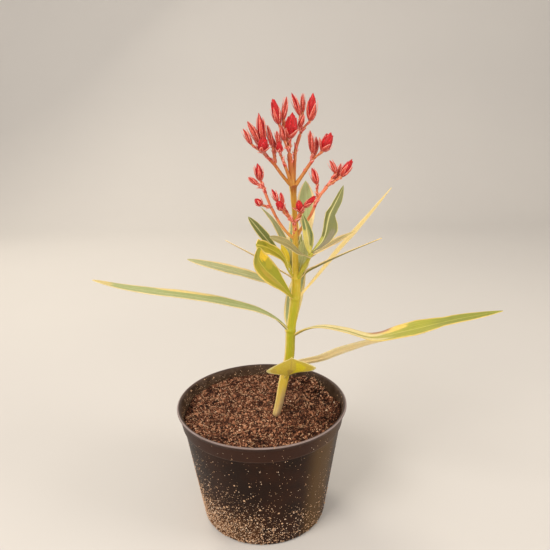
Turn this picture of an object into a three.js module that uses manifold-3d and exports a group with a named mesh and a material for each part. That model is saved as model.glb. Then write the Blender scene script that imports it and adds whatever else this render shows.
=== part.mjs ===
// A young potted oleander with variegated leaves and opening flower buds, in its nursery pot.
// Millimetres, +Z up. The origin is the centre of the pot's flat underside.
// The stem leans a little to +X, and the broad leaves spread along X.

import * as THREE from "three";
import { mergeVertices } from "three/addons/utils/BufferGeometryUtils.js";
import Module from "manifold-3d";

const wasm = await Module();
wasm.setup();

// The pot: a 14 cm nursery pot with a deep collar.
const POT = {
  height: 101,
  rimRadius: 70,
  baseRadius: 51.5,
  wall: 1.5,
  floor: 2.2,
  collarHeight: 15,
  collarFlare: 1,
  collarStep: 1.4,
  stepRun: 1.2,
  baseChamfer: 1.6,
  segments: 48,
};

// The rolled lip: how wide it is, and its outline as a distance in from the rim and down from the top.
const LIP = {
  width: 2.6,
  outline: [
    [2.6, 4],
    [0.3, 2.6],
    [0, 1.4],
    [0.8, 0],
    [2.6, 0.2],
    [3.2, 1.4],
  ],
};

// Drain holes in a ring through the floor.
const DRAIN = { radius: 4.5, ring: 38, count: 8, segments: 12 };

// The soil fills the pot to a little below its lip. Its lumps stand up to a millimetre or two high.
const SOIL = {
  level: 92.5,
  lump: 1,
  edgeDrop: 1.5,
  edgeClear: 0.6,
  footRadius: 12,
  rings: 6,
  segments: 40,
};

// The clearance between two neighbours.
const CLEAR = 0.3;

// Leaf blades. The thickness is a share of the length, with a least value.
const BLADE = {
  thicknessShare: 0.0115,
  leastThickness: 1,
  steps: 12,
  stalkWidth: 2.2,
  tipWidth: 0.9,
  widest: 0.45,
  fullness: 0.8,
};

// A bud's outline: a share of its radius out, at a share of its length up.
const BUD = {
  sides: 6,
  outline: [
    [0, 0],
    [0.45, 0.02],
    [0.9, 0.2],
    [1, 0.42],
    [0.72, 0.72],
    [0.3, 0.93],
    [0, 1],
  ],
};

// The twigs of a flower head: radii from root to bud, how far they sag, how far they reach into the bud.
const TWIG = { radii: [0.9, 0.75, 0.7], sag: 0.08, reach: 0.2, sides: 6 };

// The main stem, from its foot in the soil to the upper fork. Each station is x, y, z, radius.
const STEM = [
  [10.5, -10, 90, 2.9],
  [13.5, -9, 100, 3.2],
  [19, -6, 126, 3.7],
  [23, -5, 142, 3.9],
  [25, -3, 166, 3.6],
  [28.7, -1.5, 192, 3.9],
  [29.4, -1, 206, 3.5],
  [29, 0, 214, 2.4],
  [29.3, 0.5, 238, 2.4],
  [29.1, 1, 255, 2],
  [28.2, 2, 271, 2.4],
  [27.9, 2, 279, 2.9],
];

// Side shoots, flower stalks and the branches of the upper fork, in the same form.
const LIMBS = {
  shoot_right: [
    [29, -1, 203, 1.7],
    [33, -4.5, 212, 1.5],
    [38, -8, 223, 1.4],
    [41, -9, 230, 1.6],
  ],
  shoot_left: [
    [29.4, -1, 207.5, 1.5],
    [25.5, 4, 214, 1.3],
    [21, 7, 222, 1.5],
  ],
  flower_stalk_low_right: [
    [29.3, 0.5, 238, 1.3],
    [34, 1, 246, 1.2],
    [41, 1, 256, 1.1],
    [47, 2, 269, 1.2],
    [54, 3.5, 277.5, 1.2],
  ],
  flower_stalk_low_left: [
    [29.3, 0.5, 237, 1.3],
    [22, -3, 245, 1.1],
    [15, -4, 256, 1],
    [10, -5, 267, 1],
    [6.5, -5, 277, 1],
  ],
  flower_stalk_front: [
    [29.3, 0, 233, 1.6],
    [29.2, -5, 243, 1.7],
    [28.2, -7, 253, 1.8],
  ],
  branch_left: [
    [27.9, 2, 277, 1.5],
    [20.5, 0.5, 286, 1.25],
    [14.5, 0, 294.5, 1.2],
    [8, -1, 302, 1.1],
  ],
  branch_centre: [
    [27.9, 2, 277, 2],
    [26.5, 1, 292, 1.9],
    [25.5, 0, 303, 1.8],
  ],
  branch_centre_left: [
    [27.5, 1, 277, 1.4],
    [22.5, -3, 293, 1.1],
    [19.5, -4.5, 301, 1],
  ],
  branch_top: [
    [28.5, 4, 277, 1.6],
    [29.3, 5.5, 292, 1.3],
    [30.5, 6.5, 305, 1.3],
    [34, 7.5, 316, 1.3],
  ],
  branch_right: [
    [28.5, 2, 277, 1.6],
    [36, 5, 287, 1.4],
    [42.5, 7, 296, 1.3],
  ],
};

// Flower heads. The root lies on the limb that carries the head. Each bud has its base, tip and radius.
const HEADS = {
  buds_left: {
    on: "branch_left",
    root: [7, -1, 303],
    buds: [
      { base: [-2, -3, 310], tip: [-7.5, -5, 321], radius: 1.9 },
      { base: [6, -5, 304.5], tip: [7, -8, 315.5], radius: 4.2 },
      { base: [3.5, -1, 311], tip: [-4.5, -2, 326], radius: 2.5 },
      { base: [6.8, 0, 311], tip: [3.8, -1, 331.5], radius: 3.2 },
      { base: [3, 2.5, 309], tip: [0, 9, 322], radius: 2.2 },
    ],
  },
  buds_mid_left: {
    on: "branch_left",
    root: [15, 0.5, 296],
    buds: [
      { base: [13.5, 2, 307], tip: [9.5, 2, 323], radius: 2 },
      { base: [15, 5, 304], tip: [13, 11, 315], radius: 2 },
    ],
  },
  buds_centre_left: {
    on: "branch_centre_left",
    root: [19, -5, 302],
    buds: [
      { base: [18.5, -6, 304], tip: [18, -7.5, 311.5], radius: 2.7 },
      { base: [18.5, -3, 308.5], tip: [16.5, -2.5, 319], radius: 2 },
    ],
  },
  buds_centre: {
    on: "branch_centre",
    root: [25.3, 0, 304],
    buds: [
      { base: [26, -2, 313.5], tip: [28, -4, 331.5], radius: 5 },
      { base: [18.5, 1, 323.5], tip: [14, 1, 341], radius: 3.4 },
      { base: [21.5, 3, 326.5], tip: [24.2, 4, 342.5], radius: 2 },
      { base: [22, -3.5, 312], tip: [19.5, -6, 322], radius: 2.1 },
      { base: [23, 4.5, 315], tip: [21, 11, 327], radius: 2.2 },
    ],
  },
  buds_top: {
    on: "branch_top",
    root: [34.5, 7.6, 317],
    buds: [
      { base: [41.5, 8, 325], tip: [43.5, 8, 344.5], radius: 3.7 },
      { base: [34, 7, 329], tip: [27.8, 6.5, 345], radius: 2.1 },
      { base: [36, 9.5, 331], tip: [36.3, 11, 344.5], radius: 1.7 },
      { base: [33, 4, 319.5], tip: [36.5, 2, 330], radius: 2 },
    ],
  },
  buds_right: {
    on: "branch_right",
    root: [42.5, 7.2, 297],
    buds: [
      { base: [43, 6, 302], tip: [41, 5, 318.5], radius: 2.3 },
      { base: [45.5, 9.5, 301.5], tip: [46, 12, 313.5], radius: 2 },
      { base: [50.5, 6.5, 303], tip: [56.5, 5, 316.5], radius: 4.6 },
    ],
  },
  buds_low_right: {
    on: "flower_stalk_low_right",
    root: [54.8, 3.7, 278.5],
    buds: [
      { base: [64.5, 4, 284.5], tip: [72, 3.5, 297], radius: 3.3 },
      { base: [60.5, 4.5, 287], tip: [55.5, 5, 296.5], radius: 2.1 },
      { base: [62, 7.5, 284], tip: [65, 14, 293], radius: 2 },
    ],
  },
  bud_side_right: {
    on: "flower_stalk_low_right",
    root: [46.5, 2, 270],
    buds: [{ base: [46, 2, 279.5], tip: [42, 2, 291.5], radius: 2.7 }],
  },
  buds_low_left: {
    on: "flower_stalk_low_left",
    root: [6.2, -5, 278],
    buds: [
      { base: [4, -5, 284], tip: [2, -6, 296.5], radius: 3 },
      { base: [2, -5, 281], tip: [-5, -5, 286.5], radius: 1.8 },
    ],
  },
  bud_round_left: {
    on: "flower_stalk_low_left",
    root: [11.5, -5, 264],
    buds: [{ base: [4.5, -6, 266], tip: [-0.5, -6.5, 270.5], radius: 2.6 }],
  },
  buds_front_left: {
    on: "flower_stalk_front",
    root: [27, -8, 253.5],
    buds: [
      { base: [20, -10, 262.5], tip: [15.5, -11, 270], radius: 3.1 },
      { base: [16, -9, 269], tip: [12, -8, 278], radius: 2 },
      { base: [20, -9, 267], tip: [18.5, -9, 275.5], radius: 1.5 },
    ],
  },
  buds_front_right: {
    on: "flower_stalk_front",
    root: [29.5, -8, 253.5],
    buds: [
      { base: [33, -10.5, 261], tip: [31, -11.5, 270], radius: 3.2 },
      { base: [35.5, -10, 264.5], tip: [44.5, -10, 272.5], radius: 2.3 },
    ],
  },
};

// Leaves. A spine runs from its start through the points to the tip, and face is the way that the upper
// side looks, evenly from the stalk to the tip. A positive fold lifts the margins, a negative one drops
// them. A low fullness makes the blade blunter towards both ends.
const LEAVES = {
  leaf_long_left: {
    on: "stem",
    spine: [
      [25, -3, 162.5],
      [15.5, -6, 174],
      [6.1, -9, 181.2],
      [-5.9, -12.5, 187.3],
      [-43.2, -22, 199.8],
      [-69.8, -29, 206.6],
      [-94.8, -35, 213.4],
      [-116, -40, 221.1],
    ],
    width: 18,
    widest: 0.55,
    fullness: 0.55,
    face: [[0, -0.08, 1], [0, -0.09, 1], [0, -0.04, 1], [0, -0.05, 1]],
    fold: 0.12,
  },
  leaf_upper_left: {
    on: "stem",
    spine: [[28.5, 0, 191.5], [16.8, 0, 200.4], [-0.1, -2, 208], [-27.4, -4, 217.2], [-53.4, -5, 225.3]],
    width: 16,
    widest: 0.58,
    fullness: 0.6,
    face: [[0, -0.15, 1], [0, -0.15, 1]],
    fold: 0.15,
  },
  leaf_front_left: {
    on: "stem",
    spine: [
      [28.5, -3, 189],
      [19.4, -11, 203],
      [12.1, -18, 213.3],
      [6.2, -25, 221.4],
      [1.4, -33, 231.8],
      [1.6, -40, 242.2],
    ],
    width: 19.5,
    widest: 0.64,
    fullness: 0.7,
    face: [[0.5, -0.6, 0.8], [0.7, -0.7, 0.5], [0.8, -0.8, 0.2]],
    fold: 0.2,
  },
  leaf_arched_left: {
    on: "stem",
    spine: [
      [29.4, -1, 206],
      [23.3, -6, 215.2],
      [21, -8.5, 222.6],
      [16.8, -12, 228.9],
      [10.9, -16, 234.2],
      [5, -21.5, 238.3],
      [0.2, -28, 241.3],
    ],
    width: 9.6,
    widest: 0.76,
    fullness: 0.75,
    face: [[0.3, -0.8, 0.4], [0.1, -0.8, 0.6], [0.5, -0.7, 0.3]],
    fold: 0.2,
  },
  leaf_thin_left: {
    on: "stem",
    spine: [[29.4, -1, 206.5], [-4, 6, 225], [-25, 10, 236]],
    width: 12,
    face: [[0, 0.3, 1], [0, 0.3, 1]],
    fold: 0.1,
  },
  leaf_front_low: {
    on: "stem",
    spine: [[19, -6.2, 124.5], [22.9, -30, 140.9], [23, -58, 159.1], [22.7, -86, 176.6], [22.3, -106, 189.1]],
    width: 35,
    widest: 0.52,
    fullness: 1.9,
    face: [[-0.04, -0.2, 1], [-0.04, -0.2, 1]],
    fold: -0.13,
  },
  leaf_low_right: {
    on: "stem",
    spine: [[22.5, -5, 136.5], [48, -3, 139.2], [68, -4, 147], [91.3, -7, 154.9], [130.3, -8, 162.2]],
    width: 15.5,
    widest: 0.33,
    fullness: 0.6,
    face: [[-0.1, 0.8, 0.6], [-0.1, 0.7, 0.7], [-0.1, 0.6, 0.8]],
    fold: 0.1,
  },
  leaf_arched_right: {
    on: "stem",
    spine: [
      [25, -3, 159.5],
      [35.8, -8, 167.3],
      [47.1, -13, 170.9],
      [65.7, -20, 169.9],
      [85.3, -27, 166.6],
      [104.2, -36, 174.3],
      [142.6, -47, 188.2],
      [172, -52, 195.8],
    ],
    width: 17,
    widest: 0.6,
    fullness: 0.7,
    face: [
      [0, 0.1, 1],
      [0, 0.15, 1],
      [0, 0.2, 1],
      [0, 0.14, 1],
      [0, -0.26, 1],
      [0, -0.33, 1],
      [0, -0.08, 1],
      [0, -0.1, 1],
      [0, -0.12, 1],
    ],
    fold: 0.15,
  },
  leaf_tall_right: {
    on: "stem",
    spine: [[28.7, -1.5, 190], [43, 4, 203], [61.6, 13, 222.6], [81.8, 21, 243], [107.2, 30, 271.3]],
    width: 9.5,
    widest: 0.5,
    face: [[-0.6, 0.6, 0.5], [-0.6, 0.6, 0.5]],
    fold: 0.12,
  },
  leaf_thin_right: {
    on: "stem",
    spine: [[29.4, -0.5, 204], [37.5, 1, 211.3], [46.1, -5, 218], [65.6, -14, 229.9], [90.9, -22, 242.8]],
    width: 12,
    face: [[0, 0.14, 1], [0, 0.14, 1]],
    fold: 0.1,
  },
  leaf_stem_right: {
    on: "stem",
    spine: [[31, 1.5, 208.5], [34.8, 7, 221], [36.5, 12, 235]],
    width: 13,
    face: [[-0.2, -1, 0.3], [-0.2, -1, 0.3]],
    fold: 0.15,
  },
  leaf_back_low: {
    on: "stem",
    spine: [[25, -2, 164], [25.8, 10, 173.8], [31, 24, 191], [37.6, 38, 209]],
    width: 14,
    fullness: 0.6,
    face: [[-0.2, -0.6, 0.8], [-0.2, -0.8, 0.5]],
    fold: 0.15,
  },
  leaf_back_high: {
    on: "stem",
    spine: [[28.7, 0, 192], [30, 30, 218], [30, 60, 250]],
    width: 12,
    widest: 0.55,
    face: [[0, -0.6, 0.8], [0, -0.6, 0.8]],
    fold: 0.15,
  },
  leaf_shoot_back_right: {
    on: "shoot_right",
    spine: [[40.3, -7.6, 226.6], [59.1, -4, 236.1], [75, 0, 243.4]],
    width: 11,
    face: [[0, 0, 1], [0, -0.12, 1]],
    fold: 0.15,
  },
  leaf_shoot_wavy: {
    on: "shoot_right",
    spine: [[41.5, -9, 230], [51.5, -10, 240.5], [56, -11, 256], [64, -12, 280]],
    width: 11,
    widest: 0.5,
    face: [[-0.2, -1, 0], [-0.2, -1, 0]],
    fold: 0.2,
  },
  leaf_shoot_front: {
    on: "shoot_right",
    spine: [[39.5, -10, 229], [38, -14.5, 244], [34, -17, 261]],
    width: 8,
    face: [[0.2, -1, 0.2], [0.2, -1, 0.2]],
    fold: 0.2,
  },
  leaf_shoot_tall: {
    on: "shoot_right",
    spine: [[39.5, -7.5, 229], [38.6, 7, 246.5], [38, 14, 280.4]],
    width: 14,
    widest: 0.68,
    face: [[0, -1, 0.2], [0, -1, 0.2]],
    fold: 0.15,
  },
  leaf_shoot_crossing: {
    on: "shoot_right",
    spine: [[40, -9, 226], [31.5, -15, 231], [22, -19, 239.5], [10, -24, 246]],
    width: 7.2,
    widest: 0.6,
    fullness: 0.5,
    face: [[-0.2, -0.3, 1], [0.3, -0.8, 0.6]],
    fold: 0.15,
  },
  leaf_left_outer: {
    on: "shoot_left",
    spine: [[20.5, 5.5, 219.5], [8.2, 6.5, 235.2], [-6.5, 7, 254.6]],
    width: 9.2,
    widest: 0.6,
    fullness: 0.6,
    face: [[0.6, -0.7, 0.5], [0.6, -0.7, 0.5]],
    fold: 0.2,
  },
  leaf_left_inner: {
    on: "stem",
    spine: [
      [28.7, 2, 207.8],
      [26.6, 6.2, 211.6],
      [25.4, 9.5, 217.2],
      [24.4, 12.5, 225.5],
      [20, 14.5, 235.7],
      [11.7, 16.5, 250.2],
      [3.1, 18, 260],
    ],
    width: 6.4,
    face: [[0.3, -1, 0.2], [0.5, -0.8, 0.3]],
    fold: 0.2,
  },
  leaf_left_small: {
    on: "shoot_left",
    spine: [[24, 5.5, 217], [21, 4.4, 226.5], [18.2, 4, 233.6]],
    width: 5.5,
    face: [[0.2, -1, 0], [0.2, -1, 0]],
    fold: 0.2,
  },
  leaf_left_back: {
    on: "stem",
    spine: [[29.5, 1.5, 204.6], [32, 20, 217], [36, 38, 233]],
    width: 7,
    face: [[0, -0.5, 0.9], [0, -0.5, 0.9]],
    fold: 0.15,
  },
};

const vector = ([x, y, z]) => new THREE.Vector3(x, y, z);

// A closed geometry as a solid that can be joined and cut.
function solidOf(geometry) {
  geometry.deleteAttribute("normal");
  geometry.deleteAttribute("uv");
  const merged = mergeVertices(geometry, 1e-4);
  const vertProperties = new Float32Array(merged.attributes.position.array);
  const triVerts = new Uint32Array(merged.index.array);
  return new wasm.Manifold(new wasm.Mesh({ numProp: 3, vertProperties, triVerts }));
}

// The solid back as a geometry. A loose scrap that a cut leaves is dropped.
function geometryOf(solid) {
  const pieces = solid.decompose().sort((a, b) => b.volume() - a.volume());
  const mesh = pieces[0].getMesh();
  const geometry = new THREE.BufferGeometry();
  geometry.setAttribute("position", new THREE.BufferAttribute(mesh.vertProperties, 3));
  geometry.setIndex(new THREE.BufferAttribute(mesh.triVerts, 1));
  geometry.computeVertexNormals();
  return geometry;
}

// The two directions square to a curve's tangent, the first as near as it can be to a wanted one.
function squareTo(tangent, wanted) {
  const normal = wanted.clone().addScaledVector(tangent, -wanted.dot(tangent)).normalize();
  return { normal, side: new THREE.Vector3().crossVectors(tangent, normal) };
}

// The value at a share of the way through evenly spaced numbers.
function between(values, share) {
  const place = share * (values.length - 1);
  const first = Math.min(Math.floor(place), values.length - 2);
  return THREE.MathUtils.lerp(values[first], values[first + 1], place - first);
}

// Minus one at the start of a limb, one at its end, nothing between.
function ends(share) {
  if (share === 0) {
    return -1;
  }
  return share === 1 ? 1 : 0;
}

// A round limb along its stations, tapering as their radii do. Grown, it is larger all round by that much.
function limb(stations, { sides = 8, stepsEach = 2, grown = 0 } = {}) {
  const curve = new THREE.CatmullRomCurve3(stations.map(vector), false, "centripetal");
  const radii = stations.map((station) => station[3]);
  const steps = (stations.length - 1) * stepsEach;
  const geometry = new THREE.CylinderGeometry(1, 1, 1, sides, steps);
  const position = geometry.attributes.position;
  const along = curve.getTangent(0.5);
  const wanted = Math.abs(along.y) > 0.8 ? new THREE.Vector3(1, 0, 0) : new THREE.Vector3(0, 1, 0);
  for (let i = 0; i < position.count; i++) {
    const share = THREE.MathUtils.clamp(position.getY(i) + 0.5, 0, 1);
    const tangent = curve.getTangent(share);
    const { normal, side } = squareTo(tangent, wanted);
    const radius = between(radii, share) + grown;
    const past = grown * ends(share);
    const point = curve
      .getPoint(share)
      .addScaledVector(tangent, past)
      .addScaledVector(side, position.getX(i) * radius)
      .addScaledVector(normal, position.getZ(i) * radius);
    position.setXYZ(i, point.x, point.y, point.z);
  }
  return solidOf(geometry);
}

// The direction at a share of the way through evenly spaced ones.
function directionBetween(directions, share) {
  const place = share * (directions.length - 1);
  const first = Math.min(Math.floor(place), directions.length - 2);
  return vector(directions[first]).lerp(vector(directions[first + 1]), place - first);
}

// The width of a blade at a share of its length: a short stalk, a long narrow body and a fine tip.
function bladeWidth(share, width, widest, fullness) {
  const power = Math.log(0.5) / Math.log(widest);
  const body = Math.pow(Math.sin(Math.PI * Math.pow(share, power)), fullness) * width;
  const stalk = Math.min(BLADE.stalkWidth, width / 3);
  return Math.max(body, THREE.MathUtils.lerp(stalk, BLADE.tipWidth, share));
}

// A leaf: a flat box bent along the spine, folded along its midrib.
function leaf({ spine, width, widest = BLADE.widest, fullness = BLADE.fullness, face, fold }) {
  const curve = new THREE.CatmullRomCurve3(spine.map(vector), false, "centripetal");
  const thickness = Math.max(BLADE.leastThickness, curve.getLength() * BLADE.thicknessShare);
  const geometry = new THREE.BoxGeometry(1, 1, 1, 2, 1, BLADE.steps);
  const position = geometry.attributes.position;
  for (let i = 0; i < position.count; i++) {
    const share = THREE.MathUtils.clamp(position.getZ(i) + 0.5, 0, 1);
    const tangent = curve.getTangentAt(share);
    const { normal, side } = squareTo(tangent, directionBetween(face, share));
    const across = position.getX(i) * bladeWidth(share, width, widest, fullness);
    const lift = position.getY(i) * thickness + Math.abs(across) * fold * Math.sin(Math.PI * share);
    const point = curve
      .getPointAt(share)
      .addScaledVector(side, -across)
      .addScaledVector(normal, lift);
    position.setXYZ(i, point.x, point.y, point.z);
  }
  return solidOf(geometry);
}

// A bud: a spindle that is fullest below its middle, from its base to its tip.
function bud({ base, tip, radius }) {
  const start = vector(base);
  const axis = vector(tip).sub(start);
  const length = axis.length();
  const profile = BUD.outline.map(([out, up]) => new THREE.Vector2(out * radius, up * length));
  const geometry = new THREE.LatheGeometry(profile, BUD.sides);
  const upright = new THREE.Vector3(0, 1, 0);
  geometry.applyQuaternion(new THREE.Quaternion().setFromUnitVectors(upright, axis.normalize()));
  geometry.translate(start.x, start.y, start.z);
  return solidOf(geometry);
}

// A flower head: its buds, each fused to a twig from the head's root.
function head({ root, buds }) {
  let solid = null;
  for (const spec of buds) {
    const start = vector(root);
    const inside = vector(spec.base).lerp(vector(spec.tip), TWIG.reach);
    const bend = start.clone().lerp(inside, 0.5);
    bend.z -= start.distanceTo(inside) * TWIG.sag;
    const twig = [start, bend, inside].map((point, i) => [...point.toArray(), TWIG.radii[i]]);
    const piece = limb(twig, { sides: TWIG.sides, stepsEach: 1 }).add(bud(spec));
    solid = solid ? solid.add(piece) : piece;
  }
  return solid;
}

// The height of the collar's foot, and the radius of the outside of the wall at a height below it.
const collarFoot = POT.height - POT.collarHeight;
const wallTop = POT.rimRadius - LIP.width - POT.collarFlare - POT.collarStep;
const wallAt = (z) => THREE.MathUtils.lerp(POT.baseRadius, wallTop, z / collarFoot);

// The inside of the pot from the lip down to the floor, as radius and height.
function potInside() {
  const { wall, floor, collarStep, stepRun } = POT;
  return [
    [wallTop + collarStep - wall, collarFoot + stepRun / 3],
    [wallTop - wall, collarFoot - (stepRun * 2) / 3],
    [wallAt(floor) - wall, floor],
  ];
}

// The pot: walls, collar, rolled lip and a floor with drain holes.
function pot() {
  const { height, rimRadius, baseRadius, baseChamfer, floor, collarStep, stepRun } = POT;
  const profile = [
    [0, 0],
    [baseRadius - baseChamfer, 0],
    [baseRadius - baseChamfer * 0.4, baseChamfer * 0.5],
    [wallAt(baseChamfer * 1.6), baseChamfer * 1.6],
    [wallTop, collarFoot],
    [wallTop + collarStep, collarFoot + stepRun],
    ...LIP.outline.map(([inward, down]) => [rimRadius - inward, height - down]),
    ...potInside(),
    [0, floor],
  ];
  const outline = profile.map(([radius, z]) => new THREE.Vector2(radius, z));
  let solid = solidOf(new THREE.LatheGeometry(outline, POT.segments).rotateX(Math.PI / 2));
  for (let i = 0; i < DRAIN.count; i++) {
    const angle = ((i + 0.5) / DRAIN.count) * 2 * Math.PI;
    const hole = new THREE.CylinderGeometry(DRAIN.radius, DRAIN.radius, floor * 3, DRAIN.segments);
    hole.rotateX(Math.PI / 2);
    hole.translate(DRAIN.ring * Math.cos(angle), DRAIN.ring * Math.sin(angle), floor / 2);
    solid = solid.subtract(solidOf(hole));
  }
  return solid;
}

// Soft lumps, two or three centimetres apart.
function lumps(x, y) {
  return Math.sin(x * 0.31 + 1.3) * Math.cos(y * 0.27) + 0.6 * Math.sin(x * 0.13 - y * 0.41);
}

// The soil: a plug in the pot with a lumpy top that is flat round the stem's foot.
function soil() {
  const { level, lump, edgeDrop, edgeClear, footRadius, rings, segments } = SOIL;
  const [step, shoulder, foot] = potInside();
  const lipFoot = POT.rimRadius - LIP.outline.at(-1)[0];
  const edge = THREE.MathUtils.mapLinear(level, step[1], POT.height, step[0], lipFoot) - edgeClear;
  const profile = [
    [0, foot[1] + CLEAR],
    [foot[0] - edgeClear, foot[1] + CLEAR],
    [shoulder[0] - edgeClear, shoulder[1]],
    [step[0] - edgeClear, step[1] + POT.stepRun],
    [edge, level - edgeDrop],
  ];
  for (let ring = rings - 1; ring >= 0; ring--) {
    profile.push([(edge * ring) / rings, level]);
  }
  const outline = profile.map(([radius, z]) => new THREE.Vector2(radius, z));
  const geometry = new THREE.LatheGeometry(outline, segments).rotateX(Math.PI / 2);
  const position = geometry.attributes.position;
  const [footX, footY] = STEM[0];
  for (let i = 0; i < position.count; i++) {
    const [x, y] = [position.getX(i), position.getY(i)];
    const onTop = Math.abs(position.getZ(i) - level) < CLEAR;
    if (onTop && Math.hypot(x - footX, y - footY) > footRadius) {
      position.setZ(i, level + lump * lumps(x, y));
    }
  }
  return solidOf(geometry);
}

// The stem, with its foot cut flat just above the soil.
function stem(grown = 0) {
  const [footX, footY] = STEM[0];
  const size = SOIL.footRadius * 2;
  const below = new THREE.BoxGeometry(size, size, size);
  below.translate(footX, footY, SOIL.level + CLEAR - size / 2);
  return limb(STEM, { sides: 10, grown }).subtract(solidOf(below));
}

const COLOURS = {
  pot: 0x2e2320,
  soil: 0x5e3a2c,
  stem: 0x9ea832,
  branch: 0xb07038,
  bud: 0xd8453a,
  leaf: 0x93a765,
};

const plant = new THREE.Group();

function place(name, solid, color, roughness) {
  const material = new THREE.MeshStandardMaterial({ color, roughness, metalness: 0 });
  const mesh = new THREE.Mesh(geometryOf(solid), material);
  mesh.name = name;
  plant.add(mesh);
}

place("pot", pot(), COLOURS.pot, 0.45);
place("soil", soil(), COLOURS.soil, 0.95);
place("stem", stem(), COLOURS.stem, 0.5);

// Each limb is cut clear of the stem and of the limbs before it.
const grownLimbs = { stem: stem(CLEAR) };
for (const [name, stations] of Object.entries(LIMBS)) {
  const color = name.startsWith("shoot") ? COLOURS.stem : COLOURS.branch;
  let solid = limb(stations);
  for (const other of Object.values(grownLimbs)) {
    solid = solid.subtract(other);
  }
  place(name, solid, color, 0.55);
  grownLimbs[name] = limb(stations, { grown: CLEAR });
}

for (const [name, spec] of Object.entries(HEADS)) {
  place(name, head(spec).subtract(grownLimbs[spec.on]), COLOURS.bud, 0.5);
}

for (const [name, spec] of Object.entries(LEAVES)) {
  place(name, leaf(spec).subtract(grownLimbs[spec.on]), COLOURS.leaf, 0.5);
}

export default plant;
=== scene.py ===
"""A young potted oleander with cream-edged leaves and opening buds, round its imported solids.

Sizes are in millimetres here, with +Z up and the origin under the pot. Each mesh is in metres.
"""

import math

import bmesh
import bpy
import numpy as np
from mathutils import Matrix, Vector, noise


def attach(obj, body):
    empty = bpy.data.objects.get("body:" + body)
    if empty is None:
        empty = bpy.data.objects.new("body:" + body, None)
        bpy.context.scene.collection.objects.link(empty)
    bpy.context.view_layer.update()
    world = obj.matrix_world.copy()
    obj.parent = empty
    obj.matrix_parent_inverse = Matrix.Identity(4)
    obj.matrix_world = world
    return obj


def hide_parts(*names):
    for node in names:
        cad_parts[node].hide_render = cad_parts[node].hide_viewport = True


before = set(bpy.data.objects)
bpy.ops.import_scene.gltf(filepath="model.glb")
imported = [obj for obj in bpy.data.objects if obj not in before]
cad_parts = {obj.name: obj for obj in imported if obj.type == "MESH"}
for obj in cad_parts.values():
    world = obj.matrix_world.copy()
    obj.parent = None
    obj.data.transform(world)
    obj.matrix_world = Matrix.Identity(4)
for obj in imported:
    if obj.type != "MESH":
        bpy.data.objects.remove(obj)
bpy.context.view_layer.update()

MM = 0.001

# The camera that took the photograph, fitted to the pot's rim and base. Angles are in degrees.
CAMERA = {
    "place": (13.1, -435.2, 342.3),
    "down": 16.94,
    "roll": -1.23,
    "focal_pixels": 585,
    "image_pixels": 550,
    "film_width": 36,
}

# The pot. rim and base are radii, and the collar stands out by step and widens by flare.
POT = {
    "height": 101, "rim": 70, "base": 51.5, "wall": 1.5, "floor": 2.2,
    "collar": 15, "flare": 1, "step": 1.4, "lip": 2.6, "chamfer": 1.6,
}
DRAIN = {"radius": 4.5, "ring": 38, "count": 8}
# The soil's top, how far from the stem its lumps reach their full height, and its gap to the wall.
SOIL = {"level": 92.5, "foot": 12.0, "seam": 0.15}

# Leaf blades: the widths at the stalk and tip, and the thickness in the middle and at the edge.
BLADE = {
    "stalk": 2.2, "tip": 0.5, "widest": 0.45, "fullness": 0.8, "thickness": 0.55, "edge": 0.28,
}

# Where each part's random draws start.
SEEDS = {"bed": 3, "soil": 7, "dust": 11, "heads": 100}

# The main stem. Each station is x, y, z, radius.
STEM = [
    (10.5, -10, 90, 2.9), (13.5, -9, 100, 3.2), (19, -6, 126, 3.7), (23, -5, 142, 3.9),
    (25, -3, 166, 3.6), (28.7, -1.5, 192, 3.9), (29.4, -1, 206, 3.5), (29, 0, 214, 2.4),
    (29.3, 0.5, 238, 2.4), (29.1, 1, 255, 2), (28.2, 2, 271, 2.4), (27.9, 2, 279, 2.9),
]

# Rings where leaves or stalks grow or have dropped off: height, how far they stand out, and which
# way most, in degrees from the back through the left.
STEM_NODES = [
    (104, 0.2, 200), (120, 0.15, 60), (137, 0.45, 270), (164.5, 0.9, 95), (191, 0.7, 130),
    (207, 0.5, 250), (238.5, 0.5, 180), (277.5, 0.3, 0),
]

# Shoots, stalks and branches. Each station is x, y, z, radius.
LIMBS = {
    "shoot_right": [(29, -1, 203, 1.7), (33, -4.5, 212, 1.5), (38, -8, 223, 1.4),
        (41, -9, 230, 1.6)],
    "shoot_left": [(29.4, -1, 207.5, 1.5), (25.5, 4, 214, 1.3), (21, 7, 222, 1.5)],
    "flower_stalk_low_right": [(29.3, 0.5, 238, 1.3), (34, 1, 246, 1.2), (41, 1, 256, 1.1),
        (47, 2, 269, 1.2), (54, 3.5, 277.5, 1.2)],
    "flower_stalk_low_left": [(29.3, 0.5, 237, 1.3), (22, -3, 245, 1.1), (15, -4, 256, 1),
        (10, -5, 267, 1), (6.5, -5, 277, 1)],
    "flower_stalk_front": [(29.3, 0, 233, 1.6), (29.2, -5, 243, 1.7), (28.2, -7, 253, 1.8)],
    "branch_left": [(27.9, 2, 277, 1.5), (20.5, 0.5, 286, 1.25), (14.5, 0, 294.5, 1.2),
        (8, -1, 302, 1.1)],
    "branch_centre": [(27.9, 2, 277, 2), (26.5, 1, 292, 1.9), (25.5, 0, 303, 1.8)],
    "branch_centre_left": [(27.5, 1, 277, 1.4), (22.5, -3, 293, 1.1), (19.5, -4.5, 301, 1)],
    "branch_top": [(28.5, 4, 277, 1.6), (29.3, 5.5, 292, 1.3), (30.5, 6.5, 305, 1.3),
        (34, 7.5, 316, 1.3)],
    "branch_right": [(28.5, 2, 277, 1.6), (36, 5, 287, 1.4), (42.5, 7, 296, 1.3)],
}

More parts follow.
